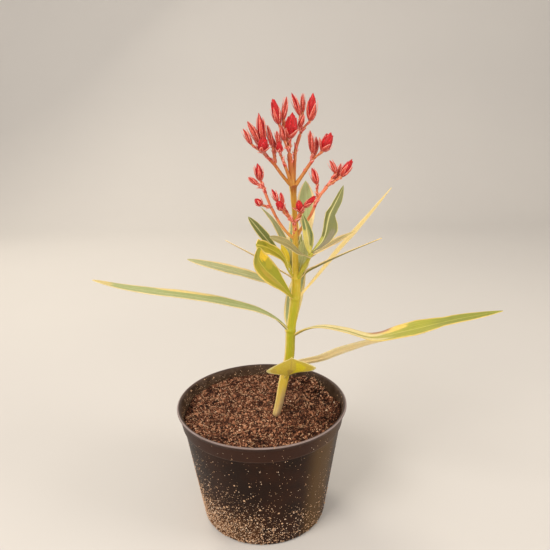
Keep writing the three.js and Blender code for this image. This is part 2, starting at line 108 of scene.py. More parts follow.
# Flower heads. Each bud is its base, its tip, its radius and how far its red petals have opened.
HEADS = {
    "buds_left": {
        "on": "branch_left", "root": (7, -1, 303),
        "buds": [((-2, -3, 310), (-7.5, -5, 321), 1.9, 0.0),
            ((6, -5, 304.5), (7, -8, 315.5), 4.2, 1.0), ((3.5, -1, 311), (-4.5, -2, 326), 2.5, 0.0),
            ((6.8, 0, 311), (3.8, -1, 331.5), 3.2, 0.1), ((3, 2.5, 309), (0, 9, 322), 2.2, 0.0)],
    },
    "buds_mid_left": {
        "on": "branch_left", "root": (15, 0.5, 296),
        "buds": [((13.5, 2, 307), (9.5, 2, 323), 2.0, 0.0),
            ((15, 5, 304), (13, 11, 315), 2.0, 0.2)],
    },
    "buds_centre_left": {
        "on": "branch_centre_left", "root": (19, -5, 302),
        "buds": [((18.5, -6, 304), (18, -7.5, 311.5), 2.7, 0.9),
            ((18.5, -3, 308.5), (16.5, -2.5, 319), 2.0, 0.0)],
    },
    "buds_centre": {
        "on": "branch_centre", "root": (25.3, 0, 304),
        "buds": [((26, -2, 313.5), (28, -4, 331.5), 5.0, 1.0),
            ((18.5, 1, 323.5), (14, 1, 341), 3.4, 0.5),
            ((21.5, 3, 326.5), (24.2, 4, 342.5), 2.0, 0.0),
            ((22, -3.5, 312), (19.5, -6, 322), 2.1, 0.0),
            ((23, 4.5, 315), (21, 11, 327), 2.2, 0.1)],
    },
    "buds_top": {
        "on": "branch_top", "root": (34.5, 7.6, 317),
        "buds": [((41.5, 8, 325), (43.5, 8, 344.5), 3.7, 0.5),
            ((34, 7, 329), (27.8, 6.5, 345), 2.1, 0.2),
            ((36, 9.5, 331), (36.3, 11, 344.5), 1.7, 0.0),
            ((33, 4, 319.5), (36.5, 2, 330), 2.0, 0.0)],
    },
    "buds_right": {
        "on": "branch_right", "root": (42.5, 7.2, 297),
        "buds": [((43, 6, 302), (41, 5, 318.5), 2.3, 0.0),
            ((45.5, 9.5, 301.5), (46, 12, 313.5), 2.0, 0.2),
            ((50.5, 6.5, 303), (56.5, 5, 316.5), 4.6, 1.0)],
    },
    "buds_low_right": {
        "on": "flower_stalk_low_right", "root": (54.8, 3.7, 278.5),
        "buds": [((64.5, 4, 284.5), (72, 3.5, 297), 3.3, 0.6),
            ((60.5, 4.5, 287), (55.5, 5, 296.5), 2.1, 0.0),
            ((62, 7.5, 284), (65, 14, 293), 2.0, 0.0)],
    },
    "bud_side_right": {
        "on": "flower_stalk_low_right", "root": (46.5, 2, 270),
        "buds": [((46, 2, 279.5), (42, 2, 291.5), 2.7, 0.1)],
    },
    "buds_low_left": {
        "on": "flower_stalk_low_left", "root": (6.2, -5, 278),
        "buds": [((4, -5, 284), (2, -6, 296.5), 3.0, 0.2),
            ((2, -5, 281), (-5, -5, 286.5), 1.8, 0.0)],
    },
    "bud_round_left": {
        "on": "flower_stalk_low_left", "root": (11.5, -5, 264),
        "buds": [((4.5, -6, 266), (-0.5, -6.5, 270.5), 2.6, 0.4)],
    },
    "buds_front_left": {
        "on": "flower_stalk_front", "root": (27, -8, 253.5),
        "buds": [((20, -10, 262.5), (15.5, -11, 270), 3.1, 1.0),
            ((16, -9, 269), (12, -8, 278), 2.0, 0.1), ((20, -9, 267), (18.5, -9, 275.5), 1.5, 0.3)],
    },
    "buds_front_right": {
        "on": "flower_stalk_front", "root": (29.5, -8, 253.5),
        "buds": [((33, -10.5, 261), (31, -11.5, 270), 3.2, 1.0),
            ((35.5, -10, 264.5), (44.5, -10, 272.5), 2.3, 1.0)],
    },
}


def look(centre, streak, margin, edge, rib=None, beyond=None, patches=(), stain=None,
         deep="6c6c30"):
    """How one side of a leaf is coloured.

    edge is the pale margin's share of the half width, where the map is low and on the other side.
    beyond is the middle's tint on that other side. Each patch is a place, a reach and a tint,
    stain is a stretch of the low rim, and deep is the tint of the darkest hair lines.
    """
    return {
        "centre": centre, "streak": streak, "margin": margin, "edge": edge, "rib": rib or streak,
        "beyond": beyond or centre, "patches": patches, "stain": stain, "deep": deep,
    }


GREEN_LOOK = look("6f7a40", "86904e", "e2d596", (0.2, 0.2), rib="c9c88e")
UNDER_LOOK = look("a9b07e", "c2c394", "e8d8a0", (0.3, 0.3), rib="cfcf9c")
OLIVE_UNDER = look("b5b452", "c4bf68", "ecd07a", (0.2, 0.2))

# Leaves. The spine runs to the tip, and face is the way that the upper side looks, evenly from
# stalk to tip. wave is the height of the margins' ripples and their number. low and high, or
# both, are shares of the half width on the two sides, and rib is how far the midrib lies off
# the middle. The under side is UNDER_LOOK where it isn't given.
LEAVES = {
    "leaf_long_left": {
        "spine": [(25, -3, 162.5), (15.5, -6, 174), (6.1, -9, 181.2), (-5.9, -12.5, 187.3),
            (-43.2, -22, 199.8), (-69.8, -29, 206.6), (-94.8, -35, 213.4), (-116, -40, 221.1)],
        "face": [(0, -0.08, 1), (0, -0.09, 1), (0, -0.04, 1), (0, -0.05, 1)],
        "width": 18, "widest": 0.55, "fullness": 0.55, "fold": 0.12, "wave": (0.12, 5),
        "upper": look("9fae72", "b9c48c", "ecdaa4", (0.2, 0.17), rib="c4ce98",
            patches=[((0.57, 0.88), (0.14, 0.13), "edd78a"), ((0.97, 0.5), (0.06, 0.5), "e2cd86")]),
    },
    "leaf_upper_left": {
        "spine": [(28.5, 0, 191.5), (16.8, 0, 200.4), (-0.1, -2, 208), (-27.4, -4, 217.2),
            (-53.4, -5, 225.3)],
        "width": 16, "widest": 0.58, "fullness": 0.6, "face": [(0, -0.15, 1)], "fold": 0.15,
        "wave": (0.15, 4),
        "upper": look("a8b286", "c8cca0", "f0dba4", (0.22, 0.28), rib="ccd0a0"),
    },
    "leaf_front_left": {
        "spine": [(28.5, -3, 189), (19.4, -11, 203), (12.1, -18, 213.3), (6.2, -25, 221.4),
            (1.4, -33, 231.8), (1.6, -40, 242.2)],
        "face": [(0.5, -0.6, 0.8), (0.7, -0.7, 0.5), (0.8, -0.8, 0.2)],
        "width": 19.5, "widest": 0.64, "fullness": 0.7, "fold": 0.2, "wave": (0.3, 3),
        "upper": look("b0a82c", "a6a026", "f5da7c", (0.14, 0.13), rib="c9c24c", beyond="a0a41e",
            patches=[((0.8, 0.9), (0.13, 0.3), "f8d22c"), ((0.62, 0.82), (0.08, 0.24), "bcb226"),
            ((0.55, 0.36), (0.2, 0.12), "c0aa40"), ((0.9, 0.25), (0.08, 0.2), "98962a"),
            ((0.3, 0.4), (0.2, 0.12), "b8ac48")]),
        "under": OLIVE_UNDER,
    },
    "leaf_arched_left": {
        "spine": [(29.4, -1, 206), (23.3, -6, 215.2), (21, -8.5, 222.6), (16.8, -12, 228.9),
            (10.9, -16, 234.2), (5, -21.5, 238.3), (0.2, -28, 241.3)],
        "face": [(0.3, -0.8, 0.4), (0.1, -0.8, 0.6), (0.5, -0.7, 0.3)],
        "low": [1, 1, 1, 1, 1, 1, 1, 1, 1.05, 1.15, 1.5, 6],
        "high": [1, 1, 1, 1, 1, 1.02, 1.04, 0.98, 0.8, 0.98, 1.2, 3],
        "width": 9.6, "widest": 0.76, "fullness": 0.75, "fold": 0.2, "wave": (0.35, 4),
        "upper": look("b6aa28", "a09a20", "f7de80", (0.22, 0.22), rib="d9ce52", beyond="c6be34",
            patches=[((0.9, 0.6), (0.12, 0.3), "9c9a24")]),
        "under": OLIVE_UNDER,
    },
    "leaf_thin_left": {
        "spine": [(29.4, -1, 206.5), (-4, 6, 225), (-25, 10, 236)],
        "width": 12, "face": [(0, 0.3, 1)], "fold": 0.1, "wave": (0.1, 3),
        "upper": look("d2c48c", "dccb98", "fdeac0", (0.35, 0.35), deep="ccac70"),
        "under": look("ecce92", "dcc284", "fdeac0", (0.4, 0.4), deep="d8b87c"),
    },
    "leaf_front_low": {
        "spine": [(19, -6.2, 124.5), (22.9, -30, 140.9), (23, -58, 159.1), (22.7, -86, 176.6),
            (22.3, -106, 189.1)],
        "width": 35, "widest": 0.52, "fullness": 1.9, "face": [(-0.04, -0.2, 1)], "fold": -0.13,
        "wave": (0.15, 3),
        "upper": look("b9b03c", "c9bb50", "f0dc92", (0.12, 0.12), rib="dcca70",
            patches=[((0.55, 0.3), (0.2, 0.12), "ecd024")]),
        # The under side's bright yellow patch is yellow variegation with a painted backlit glow;
        # its darker patches at the base's middle and by one margin are painted shade.
        "under": look("ecd648", "f2e060", "fcf0ac", (0.1, 0.12), rib="dcc454",
            patches=[((0.5, 0.3), (0.3, 0.1), "fff024"), ((0.2, 0.52), (0.24, 0.1), "ccb04c"),
            ((0.5, 0.86), (0.12, 0.06), "dcc458")], deep="a89038"),
    },
    "leaf_low_right": {
        "spine": [(22.5, -5, 136.5), (48, -3, 139.2), (68, -4, 147), (91.3, -7, 154.9),
            (130.3, -8, 162.2)],
        "both": [0.7, 0.8, 0.92, 1, 1, 0.95, 0.9, 0.9, 1],
        "face": [(-0.1, 0.8, 0.6), (-0.1, 0.7, 0.7), (-0.1, 0.6, 0.8)],
        "width": 15.5, "widest": 0.33, "fullness": 0.6, "fold": 0.1, "wave": (0.15, 4),
        "upper": look("aab268", "bfc07a", "e8d292", (0.2, 0.2)),
        "under": look("fae4aa", "ebd498", "fdeebc", (0.4, 0.3), rib="fcecb8",
            patches=[((0.9, 0.5), (0.14, 0.7), "cbb850")], deep="d2b274"),
    },
    "leaf_arched_right": {
        "spine": [(25, -3, 159.5), (35.8, -8, 167.3), (47.1, -13, 170.9), (65.7, -20, 169.9),
            (85.3, -27, 166.6), (104.2, -36, 174.3), (142.6, -47, 188.2), (172, -52, 195.8)],
        "face": [(0, 0.1, 1), (0, 0.15, 1), (0, 0.2, 1), (0, 0.14, 1), (0, -0.26, 1), (0, -0.33, 1),
            (0, -0.08, 1), (0, -0.1, 1), (0, -0.12, 1)],
        "both": [1.5, 1.7, 1.7, 1.4, 1.1, 1, 1, 1, 1, 1, 1],
        "width": 17, "widest": 0.6, "fullness": 0.7, "fold": 0.15, "wave": (0.15, 5),
        "upper": look("a2a838", "b6b650", "ecd27a", (0.13, 0.16), rib="bfc05c",
            patches=[((0.2, 0.2), (0.3, 0.34), "ece0a8"), ((0.2, 0.8), (0.3, 0.34), "ece0a8"),
            ((0.22, 0.5), (0.28, 0.1), "a39c60"), ((0.52, 0.18), (0.07, 0.17), "ecce62"),
            ((0.86, 0.5), (0.16, 0.5), "8f983a")], stain=(0.4, 0.5)),
        "under": look("c9b96c", "b5ad5c", "ecd490", (0.3, 0.3), rib="dccb86"),
    },
    "leaf_tall_right": {
        "spine": [(28.7, -1.5, 190), (43, 4, 203), (61.6, 13, 222.6), (81.8, 21, 243),
            (107.2, 30, 271.3)],
        "width": 9.5, "widest": 0.5, "face": [(-0.6, 0.6, 0.5)], "fold": 0.12, "wave": (0.12, 4),
        "upper": look("b9be82", "d2cd98", "f0dca6", (0.35, 0.35)),
        "under": look("f8e09a", "ead48c", "fdeab4", (0.25, 0.2), rib="fbe8b4",
            patches=[((0.42, 0.35), (0.2, 0.12), "e6d08c")], deep="e0cc8c"),
    },
    "leaf_thin_right": {
        "spine": [(29.4, -0.5, 204), (37.5, 1, 211.3), (46.1, -5, 218), (65.6, -14, 229.9),
            (90.9, -22, 242.8)],
        "width": 12, "face": [(0, 0.14, 1)], "fold": 0.1, "wave": (0.08, 3),
        "upper": look("968a40", "b0a050", "fcdf9c", (0.5, 0.45)),
        "under": look("8c8438", "a0944c", "f6d898", (0.34, 0.34)),
    },
    "leaf_stem_right": {
        "spine": [(31, 1.5, 208.5), (34.8, 7, 221), (36.5, 12, 235)],
        "width": 13, "face": [(-0.2, -1, 0.3)], "fold": 0.15, "wave": (0.2, 3),
        "upper": look("bec88c", "cad298", "ece4aa", (0.1, 0.1), rib="ced6a0",
            patches=[((0.15, 0.5), (0.2, 0.6), "c2bf52")]),
    },
    "leaf_back_low": {
        "spine": [(25, -2, 164), (25.8, 10, 173.8), (31, 24, 191), (37.6, 38, 209)],
        "face": [(-0.2, -0.6, 0.8), (-0.2, -0.8, 0.5)],
        "width": 14, "fullness": 0.6, "fold": 0.15, "wave": (0.3, 3),
        "upper": look("98a67c", "b7bd8c", "ead79c", (0.24, 0.3)),
    },
    "leaf_back_high": {
        "spine": [(28.7, 0, 192), (30, 30, 218), (30, 60, 250)],
        "width": 12, "widest": 0.55, "face": [(0, -0.6, 0.8)], "fold": 0.15, "wave": (0.3, 4),
        "upper": look("98a674", "b7bd8c", "ead79c", (0.3, 0.26)),
    },
    "leaf_shoot_back_right": {
        "spine": [(40.3, -7.6, 226.6), (59.1, -4, 236.1), (75, 0, 243.4)],
        "face": [(0, 0, 1), (0, -0.12, 1)],
        "width": 11, "fold": 0.15, "wave": (0.1, 3),
        "upper": look("c2b46a", "d6c486", "f0d69a", (0.4, 0.4)),
        "under": look("c4b474", "b5a864", "e8cd8c", (0.4, 0.4)),
    },
    "leaf_shoot_wavy": {
        "spine": [(41.5, -9, 230), (51.5, -10, 240.5), (56, -11, 256), (64, -12, 280)],
        "low": [1, 0.96, 0.93, 0.9, 0.88, 0.95, 1.1, 0.84, 0.8, 0.85, 1],
        "high": [1, 0.85, 0.88, 1.05, 1.25, 0.95, 0.3, 0.5, 0.8, 0.96, 1],
        "rib": [0, -0.1, -0.25, -0.38, -0.42, -0.42, -0.42, -0.4, -0.3, -0.15, 0],
        "width": 11, "widest": 0.5, "face": [(-0.2, -1, 0)], "fold": 0.2, "wave": (0.7, 3),
        "upper": look("70763e", "8c8e50", "e6dca0", (0.08, 0.07), rib="dcd898", beyond="7d845a",
            patches=[((0.22, 0.75), (0.2, 0.26), "908c78"), ((0.1, 0.2), (0.16, 0.3), "c2c45c")]),
    },
    "leaf_shoot_front": {
        "spine": [(39.5, -10, 229), (38, -14.5, 244), (34, -17, 261)],
        "width": 8, "face": [(0.2, -1, 0.2)], "fold": 0.2, "wave": (0.25, 3),
        "upper": look("dccf74", "cdc46a", "e8dc8c", (0.1, 0.1), rib="d9d18c", beyond="5f7344",
            patches=[((0.06, 0.5), (0.16, 0.5), "d8d060"), ((0.8, 0.3), (0.18, 0.3), "6e8050")]),
    },
    "leaf_shoot_tall": {
        "spine": [(39.5, -7.5, 229), (38.6, 7, 246.5), (38, 14, 280.4)],
        "width": 14, "widest": 0.68, "face": [(0, -1, 0.2)], "fold": 0.15, "wave": (0.2, 3),
        "upper": look("b4cc94", "bed49e", "fbeab8", (0.24, 0.3), rib="c2d6a2",
            patches=[((0.3, 0.85), (0.25, 0.3), "f2dca0")]),
    },
    "leaf_shoot_crossing": {
        "spine": [(40, -9, 226), (31.5, -15, 231), (22, -19, 239.5), (10, -24, 246)],
        "face": [(-0.2, -0.3, 1), (0.3, -0.8, 0.6)],
        "width": 7.2, "widest": 0.6, "fullness": 0.5, "fold": 0.15, "wave": (0.2, 3),
        "upper": look("928a58", "a49a66", "cab27a", (0.1, 0.14), rib="a89e6a"),
    },
    "leaf_left_outer": {
        "spine": [(20.5, 5.5, 219.5), (8.2, 6.5, 235.2), (-6.5, 7, 254.6)],
        "width": 9.2, "widest": 0.6, "fullness": 0.6, "face": [(0.6, -0.7, 0.5)], "fold": 0.2,
        "wave": (0.2, 3),
        "upper": look("66763c", "7c8848", "e8dfa0", (0.15, 0.15), rib="ccd096"),
    },
    "leaf_left_inner": {
        "spine": [(28.7, 2, 207.8), (26.6, 6.2, 211.6), (25.4, 9.5, 217.2), (24.4, 12.5, 225.5),
            (20, 14.5, 235.7), (11.7, 16.5, 250.2), (3.1, 18, 260)],
        "face": [(0.3, -1, 0.2), (0.5, -0.8, 0.3)],
        "width": 6.4, "fold": 0.2, "wave": (0.15, 3),
        "upper": look("8f9a74", "a2aa80", "efdea4", (0.24, 0.26), rib="a8b084",
            patches=[((0.2, 0.5), (0.2, 0.8), "c6c484")]),
    },
    "leaf_left_small": {
        "spine": [(24, 5.5, 217), (21, 4.4, 226.5), (18.2, 4, 233.6)],
        "width": 5.5, "face": [(0.2, -1, 0)], "fold": 0.2, "wave": (0.2, 2),
        "upper": look("e0c828", "cdba2c", "ecd548", (0.15, 0.15), rib="e8d648"),
        "under": OLIVE_UNDER,
    },
    "leaf_left_back": {
        "spine": [(29.5, 1.5, 204.6), (32, 20, 217), (36, 38, 233)],
        "width": 7, "face": [(0, -0.5, 0.9)], "fold": 0.15, "wave": (0.2, 3),
        "upper": GREEN_LOOK,
    },
}


def camera_axes():
    """The fitted camera's right, up and forward."""
    down, roll = math.radians(CAMERA["down"]), math.radians(CAMERA["roll"])
    forward = Vector((0, math.cos(down), -math.sin(down)))
    level = Vector((1, 0, 0))
    right = level * math.cos(roll) + level.cross(forward) * math.sin(roll)
    return right, right.cross(forward), forward


def seen_at(across, down, height):
    """Where pixels of the photograph lie at a height, to a tenth of a millimetre."""
    right, up, forward = (np.array(axis) for axis in camera_axes())
    middle, focal = CAMERA["image_pixels"] / 2, CAMERA["focal_pixels"]
    to_right, to_up = (across[:, None] - middle) / focal, (middle - down[:, None]) / focal
    rays = forward + right * to_right + up * to_up
    eye = np.array(CAMERA["place"])
    places = eye + rays * ((height - eye[2]) / rays[:, 2:])
    return places[:, :2].T.round(1)


def linear(code):
    """A hex colour as linear red, green, blue and alpha."""
    values = [int(code[i : i + 2], 16) / 255 for i in (0, 2, 4)]
    shares = [v / 12.92 if v <= 0.04045 else ((v + 0.055) / 1.055) ** 2.4 for v in values]
    return (*shares, 1.0)


class Shader:
    """A procedural material, built up one node at a time."""

    def __init__(self, name, **fixed):
        self.material = bpy.data.materials.new(name)
        self.material.use_nodes = True
        self.tree = self.material.node_tree
        self.surface = self.tree.nodes["Principled BSDF"]
        for socket, value in fixed.items():
            self.surface.inputs[socket.replace("_", " ")].default_value = value

    def feed(self, socket, value):
        if isinstance(value, bpy.types.NodeSocket):
            self.tree.links.new(value, socket)
        else:
            socket.default_value = value

    def node(self, kind, inputs, output=0, **settings):
        made = self.tree.nodes.new(kind)
        for name, value in settings.items():
            setattr(made, name, value)
        for socket, value in inputs.items():
            self.feed(made.inputs[socket], value)
        return made.outputs[output]

    def math(self, operation, first, second=0.0, third=0.0):
        return self.node("ShaderNodeMath", {0: first, 1: second, 2: third}, operation=operation)

    def add(self, first, second):
        return self.math("ADD", first, second)

    def times(self, first, second):
        return self.math("MULTIPLY", first, second)

    def scaled(self, value, factor, start):
        """start plus factor times the value."""
        return self.math("MULTIPLY_ADD", value, factor, start)

    def mix(self, factor, first, second):
        """first where factor is 0, second where it is 1. Colours may be hex codes."""
        first, second = (linear(c) if isinstance(c, str) else c for c in (first, second))
        inputs = {0: factor, 6: first, 7: second}
        return self.node("ShaderNodeMix", inputs, output=2, data_type="RGBA")

    def smooth(self, value, low, high):
        """0 where value is at low, 1 where it is at high, and eased between them."""
        inputs = {"Value": value, "From Min": low, "From Max": high}
        return self.node("ShaderNodeMapRange", inputs, interpolation_type="SMOOTHSTEP")

    def band(self, value, start, full, fading, end):
        """1 from full to fading, and 0 before start and past end."""
        return self.times(self.smooth(value, start, full), self.smooth(value, end, fading))

    def tint(self, colour, code, value, low, high, strength=None):
        """Another tint laid over the colour as the value goes from low to high."""
        share = self.smooth(value, low, high)
        return self.mix(self.times(share, strength) if strength else share, colour, code)

    def ragged(self, value, noise, swing):
        """The value, moved up and down by noise over a swing."""
        return self.add(value, self.scaled(noise, swing, -swing / 2))

    def distance(self, first, second):
        """The length of two lengths at a right angle."""
        squares = self.add(self.times(first, first), self.times(second, second))
        return self.math("SQRT", squares)

    def noise(self, vector, scale, detail=3.0, rough=0.55):
        inputs = {"Vector": vector, "Scale": scale, "Detail": detail, "Roughness": rough}
        return self.node("ShaderNodeTexNoise", inputs)

    def grain(self, vector, factors, detail, rough):
        """Noise that is drawn out, with a scale of its own along each axis."""
        return self.noise(self.stretched(vector, factors), 1.0, detail, rough)

    def cells(self, vector, scale):
        """The distance from the nearest cell's middle, and the cell's own random colour."""
        distance = self.node("ShaderNodeTexVoronoi", {"Vector": vector, "Scale": scale})
        inputs = {0: distance.node.outputs["Color"]}
        return distance, self.node("ShaderNodeSeparateColor", inputs).node.outputs

    def stretched(self, vector, factors):
        return self.node("ShaderNodeVectorMath", {0: vector, 1: factors}, operation="MULTIPLY")

    def place(self):
        return self.node("ShaderNodeTexCoord", {}, output="Object")

    def map(self):
        return self.node("ShaderNodeUVMap", {}, uv_map="blade")

    def parts(self, vector):
        outputs = self.node("ShaderNodeSeparateXYZ", {0: vector}).node.outputs
        return outputs[0], outputs[1], outputs[2]

    def ramp(self, value, stops):
        """A run of colours, each given with the value where it is reached."""
        low, high = stops[0][0], stops[-1][0]
        share = self.node("ShaderNodeMapRange", {"Value": value, "From Min": low, "From Max": high})
        made = self.node("ShaderNodeValToRGB", {0: share}).node
        elements = made.color_ramp.elements
        elements[0].color, elements[1].color = linear(stops[0][1]), linear(stops[-1][1])
        for at, code in stops[1:-1]:
            elements.new((at - low) / (high - low)).color = linear(code)
        return made.outputs[0]

    def colour(self, value):
        self.feed(self.surface.inputs["Base Color"], value)

    def roughness(self, value):
        self.feed(self.surface.inputs["Roughness"], value)

    def bump(self, height, distance, strength=1.0):
        inputs = {"Height": height, "Distance": distance, "Strength": strength}
        self.feed(self.surface.inputs["Normal"], self.node("ShaderNodeBump", inputs))


def unit(vectors):
    return vectors / np.linalg.norm(vectors, axis=-1, keepdims=True)


class Spine:
    """A centripetal curve through points, walked evenly by length or by station."""

    FINE = 40

    def __init__(self, points):
        self.points = [np.array(p[:3], float) for p in points]
        count = (len(points) - 1) * self.FINE + 1
        self.samples = np.array([self.station(i / (count - 1)) for i in range(count)])
        steps = np.linalg.norm(np.diff(self.samples, axis=0), axis=1)
        self.walked = np.concatenate([[0], np.cumsum(steps)])
        self.length = self.walked[-1]

    def station(self, share):
        p = self.points
        place = share * (len(p) - 1)
        i = min(int(place), len(p) - 2)
        t = place - i
        before = p[i - 1] if i > 0 else 2 * p[0] - p[1]
        after = p[i + 2] if i + 2 < len(p) else 2 * p[-1] - p[-2]
        a, b = p[i], p[i + 1]
        pairs = ((before, a), (a, b), (b, after))
        d0, d1, d2 = (math.sqrt(np.linalg.norm(q - r)) for q, r in pairs)
        start = ((a - before) / d0 - (b - before) / (d0 + d1) + (b - a) / d1) * d1
        end = ((b - a) / d1 - (after - a) / (d1 + d2) + (after - b) / d2) * d1
        bend = 3 * (b - a) - 2 * start - end
        return a + start * t + bend * t**2 + (2 * (a - b) + start + end) * t**3

    def read(self, at, known):
        """The points where the known values, one for each sample, reach the ones asked for."""
        return np.stack([np.interp(at, known, column) for column in self.samples.T], 1)

    def walk(self, shares):
        """The points at shares of the length."""
        return self.read(np.asarray(shares) * self.length, self.walked)

    def stations(self, shares):
        """The points at shares of the run of stations, which may lie unevenly."""
        last = len(self.samples) - 1
        return self.read(np.asarray(shares) * last, np.arange(last + 1))

    def nearest(self, place):
        """The point of the curve that is nearest to a place."""
        away = np.linalg.norm(self.samples - np.array(place, float), axis=1)
        return self.samples[away.argmin()]


def frames(points, wanted):
    """The tangent, normal and side at each point, with the normal nearest to the one wanted."""
    tangents = unit(np.gradient(points, axis=0))
    wanted = np.broadcast_to(wanted, points.shape)
    normals = unit(wanted - (wanted * tangents).sum(1, keepdims=True) * tangents)
    return tangents, normals, np.cross(tangents, normals)


def turns(count):
    """Angles evenly round a circle."""
    return np.linspace(0, 2 * np.pi, count, endpoint=False)


def circle(angle):
    return np.stack([np.cos(angle), np.sin(angle)], -1)


class Form:
    """Points and faces gathered for a piece. A face's tone is its material's place in the list."""

    def __init__(self):
        self.points, self.faces, self.tones, self.maps = [], [], [], []
        self.count = 0

    def add_points(self, points, maps=None):
        first = self.count
        points = np.asarray(points, float).reshape(-1, 3)
        self.points.append(points)
        maps = np.zeros((len(points), 2)) if maps is None else np.asarray(maps).reshape(-1, 2)
        self.maps.append(maps)
        self.count += len(points)
        return first

    def add_faces(self, faces, tones):
        faces = np.asarray(faces)
        self.faces.extend(faces.tolist())
        self.tones.extend(np.broadcast_to(tones, len(faces)).tolist())

    def tube(self, rings, tones=0, maps=None):
        """A skin over rings of points that go round as they are walked, closed at both ends."""
        rows, columns = rings.shape[:2]
        first = self.add_points(rings, maps)
        i, j = np.meshgrid(np.arange(rows - 1), np.arange(columns), indexing="ij")
        a = first + i * columns + j
        b = first + i * columns + (j + 1) % columns
        faces = np.stack([a, b, b + columns, a + columns], -1)
        tones = np.broadcast_to(tones, faces.shape[:2])
        self.add_faces(faces.reshape(-1, 4), tones.reshape(-1))
        around = np.arange(columns)
        onward = (around + 1) % columns
        for row, ring in ((0, rings[0]), (rows - 1, rings[-1])):
            middle = None if maps is None else maps[row].mean(0)
            centre = self.add_points(ring.mean(0), middle)
            start = first + row * columns
            near, far = (onward, around) if row == 0 else (around, onward)
            fan = np.stack([start + near, start + far, np.full(columns, centre)], -1)
            self.add_faces(fan, tones[min(row, rows - 2)])

    def mesh(self, name, materials, smooth=True):
        """The gathered faces as a mesh in metres."""
        made = bpy.data.meshes.new(name)
        made.from_pydata((np.concatenate(self.points) * MM).tolist(), [], self.faces)
        for material in materials:
            made.materials.append(material)
        made.polygons.foreach_set("material_index", self.tones)
        made.polygons.foreach_set("use_smooth", [smooth] * len(self.faces))
        maps = np.concatenate(self.maps)
        if maps.any():
            corners = np.empty(len(made.loops), np.int32)
            made.loops.foreach_get("vertex_index", corners)
            layer = made.uv_layers.new(name="blade")
            layer.data.foreach_set("uv", maps[corners].astype(np.float32).ravel())
        return made

    def make(self, name, materials, node, slot, smooth=True):
        """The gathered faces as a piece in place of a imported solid."""
        return piece(self.mesh(name, materials, smooth), node)


def piece(mesh, node):
    """A mesh that rides on the plant's only body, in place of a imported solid."""
    made = bpy.data.objects.new(mesh.name, mesh)
    bpy.context.scene.collection.objects.link(made)
    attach(made, "root")
    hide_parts(node)
    return made


def blade(form, points, wanted, half, lift, thickness, columns, tones=0, mapped=False):
    """A closed thin blade along points.

    half is the half width at each point, one number or one for each column, and lift and
    thickness may vary across it too. With mapped, the map runs 0 to 1 along and across.
    """
    _, normals, sides = frames(points, wanted)
    rows = len(points)
    half = half if half.ndim == 2 else half[:, None]
    across = np.linspace(-1, 1, columns)
    middle = points[:, None] + sides[:, None] * (half * across)[..., None]
    middle = middle + normals[:, None] * np.broadcast_to(lift, (rows, columns))[..., None]
    thick = normals[:, None] * np.broadcast_to(thickness, (rows, columns))[..., None] / 2
    rings = np.concatenate([middle + thick, (middle - thick)[:, ::-1]], 1)
    maps = None
    if mapped:
        u = np.linspace(0, 1, rows)[:, None] + np.zeros((1, 2 * columns))
        v = np.concatenate([across, across[::-1]])[None] * 0.5 + 0.5 + np.zeros((rows, 1))
        maps = np.stack([u, v], -1)
    form.tube(rings, tones, maps)


def steps(value, low, high):
    """0 up to low, 1 from high on, and eased between them."""
    t = np.clip((np.asarray(value, float) - low) / (high - low), 0, 1)
    return t * t * (3 - 2 * t)


def hill(value, middle, reach):
    """1 at the middle, and next to nothing two reaches away."""
    return np.exp(-(((value - middle) / reach) ** 2))


def ripple(seed, values, scale):
    """Smooth noise along one line of values, from -1 to 1."""
    return np.array([noise.noise(Vector((v * scale, seed * 7.31, 2.7))) for v in values])


def spread_over(values, share):
    """The value at each share of the way through evenly spaced numbers or directions."""
    values = np.array(values, float)
    at = np.linspace(0, 1, len(values))
    if values.ndim == 1:
        return np.interp(share, at, values)
    return np.stack([np.interp(share, at, column) for column in values.T], 1)


# Leaves

VEIN_GAP = 1.5
RIB_WIDTH = 0.9
BLADE_COLUMNS = 25
LEAST_ROWS = 36

# How fine the marks on a leaf are, along and across it.
STREAKS = (0.045, 1.1, 1)
HAIRS = (0.07, 3.2, 1)
WANDER = (0.09, 0.02, 1)
STAIN_TINT = "b07f62"
MOTTLE_TINT = "8f8648"


def blade_width(share, spec):
    """The source's rule: a short stalk, a long narrow body and a fine tip."""
    width = spec["width"]
    power = math.log(0.5) / math.log(spec.get("widest", BLADE["widest"]))
    bow = np.sin(np.pi * np.clip(share, 0, 1) ** power).clip(0)
    body = bow ** spec.get("fullness", BLADE["fullness"]) * width
    stalk = min(BLADE["stalk"], width / 3)
    return np.maximum(body, stalk + (BLADE["tip"] - stalk) * share)


def rib_ramp(shader, u, offsets):
    """How far the midrib lies from the middle along the leaf, as a share of the half width."""
    if offsets is None:
        return 0.0
    made = shader.node("ShaderNodeFloatCurve", {"Value": u}).node
    curve = made.mapping.curves[0]
    last = len(offsets) - 1
    curve.points[0].location = (0, offsets[0] + 0.5)
    curve.points[1].location = (1, offsets[last] + 0.5)
    for i in range(1, last):
        curve.points.new(i / last, offsets[i] + 0.5)
    made.mapping.update()
    return shader.add(made.outputs[0], -0.5)


def leaf_patches(shader, colour, patches, u, v, streaks):
    """Uneven fields of another tint, each at a place on the leaf with a reach along and across."""
    for (at_u, at_v), (reach_u, reach_v), code in patches:
        du = shader.scaled(u, 1 / reach_u, -at_u / reach_u)
        dv = shader.scaled(v, 1 / reach_v, -at_v / reach_v)
        away = shader.ragged(shader.distance(du, dv), streaks, 1.2)
        colour = shader.tint(colour, code, away, 1.15, 0.8)
    return colour


def leaf_margins(shader, colour, shown, offset, wander, streaks):
    """Pale margins that wander in and out along the leaf and end in fine streaks."""
    for sign, edge in zip((-1, 1), shown["edge"]):
        rim = shader.ragged(shader.times(offset, 2 * sign), wander, 0.9 * (edge + 0.1))
        rim = shader.ragged(rim, streaks, 0.25)
        colour = shader.tint(colour, shown["margin"], rim, 1 - edge - 0.05, 1 - edge + 0.05)
    return colour


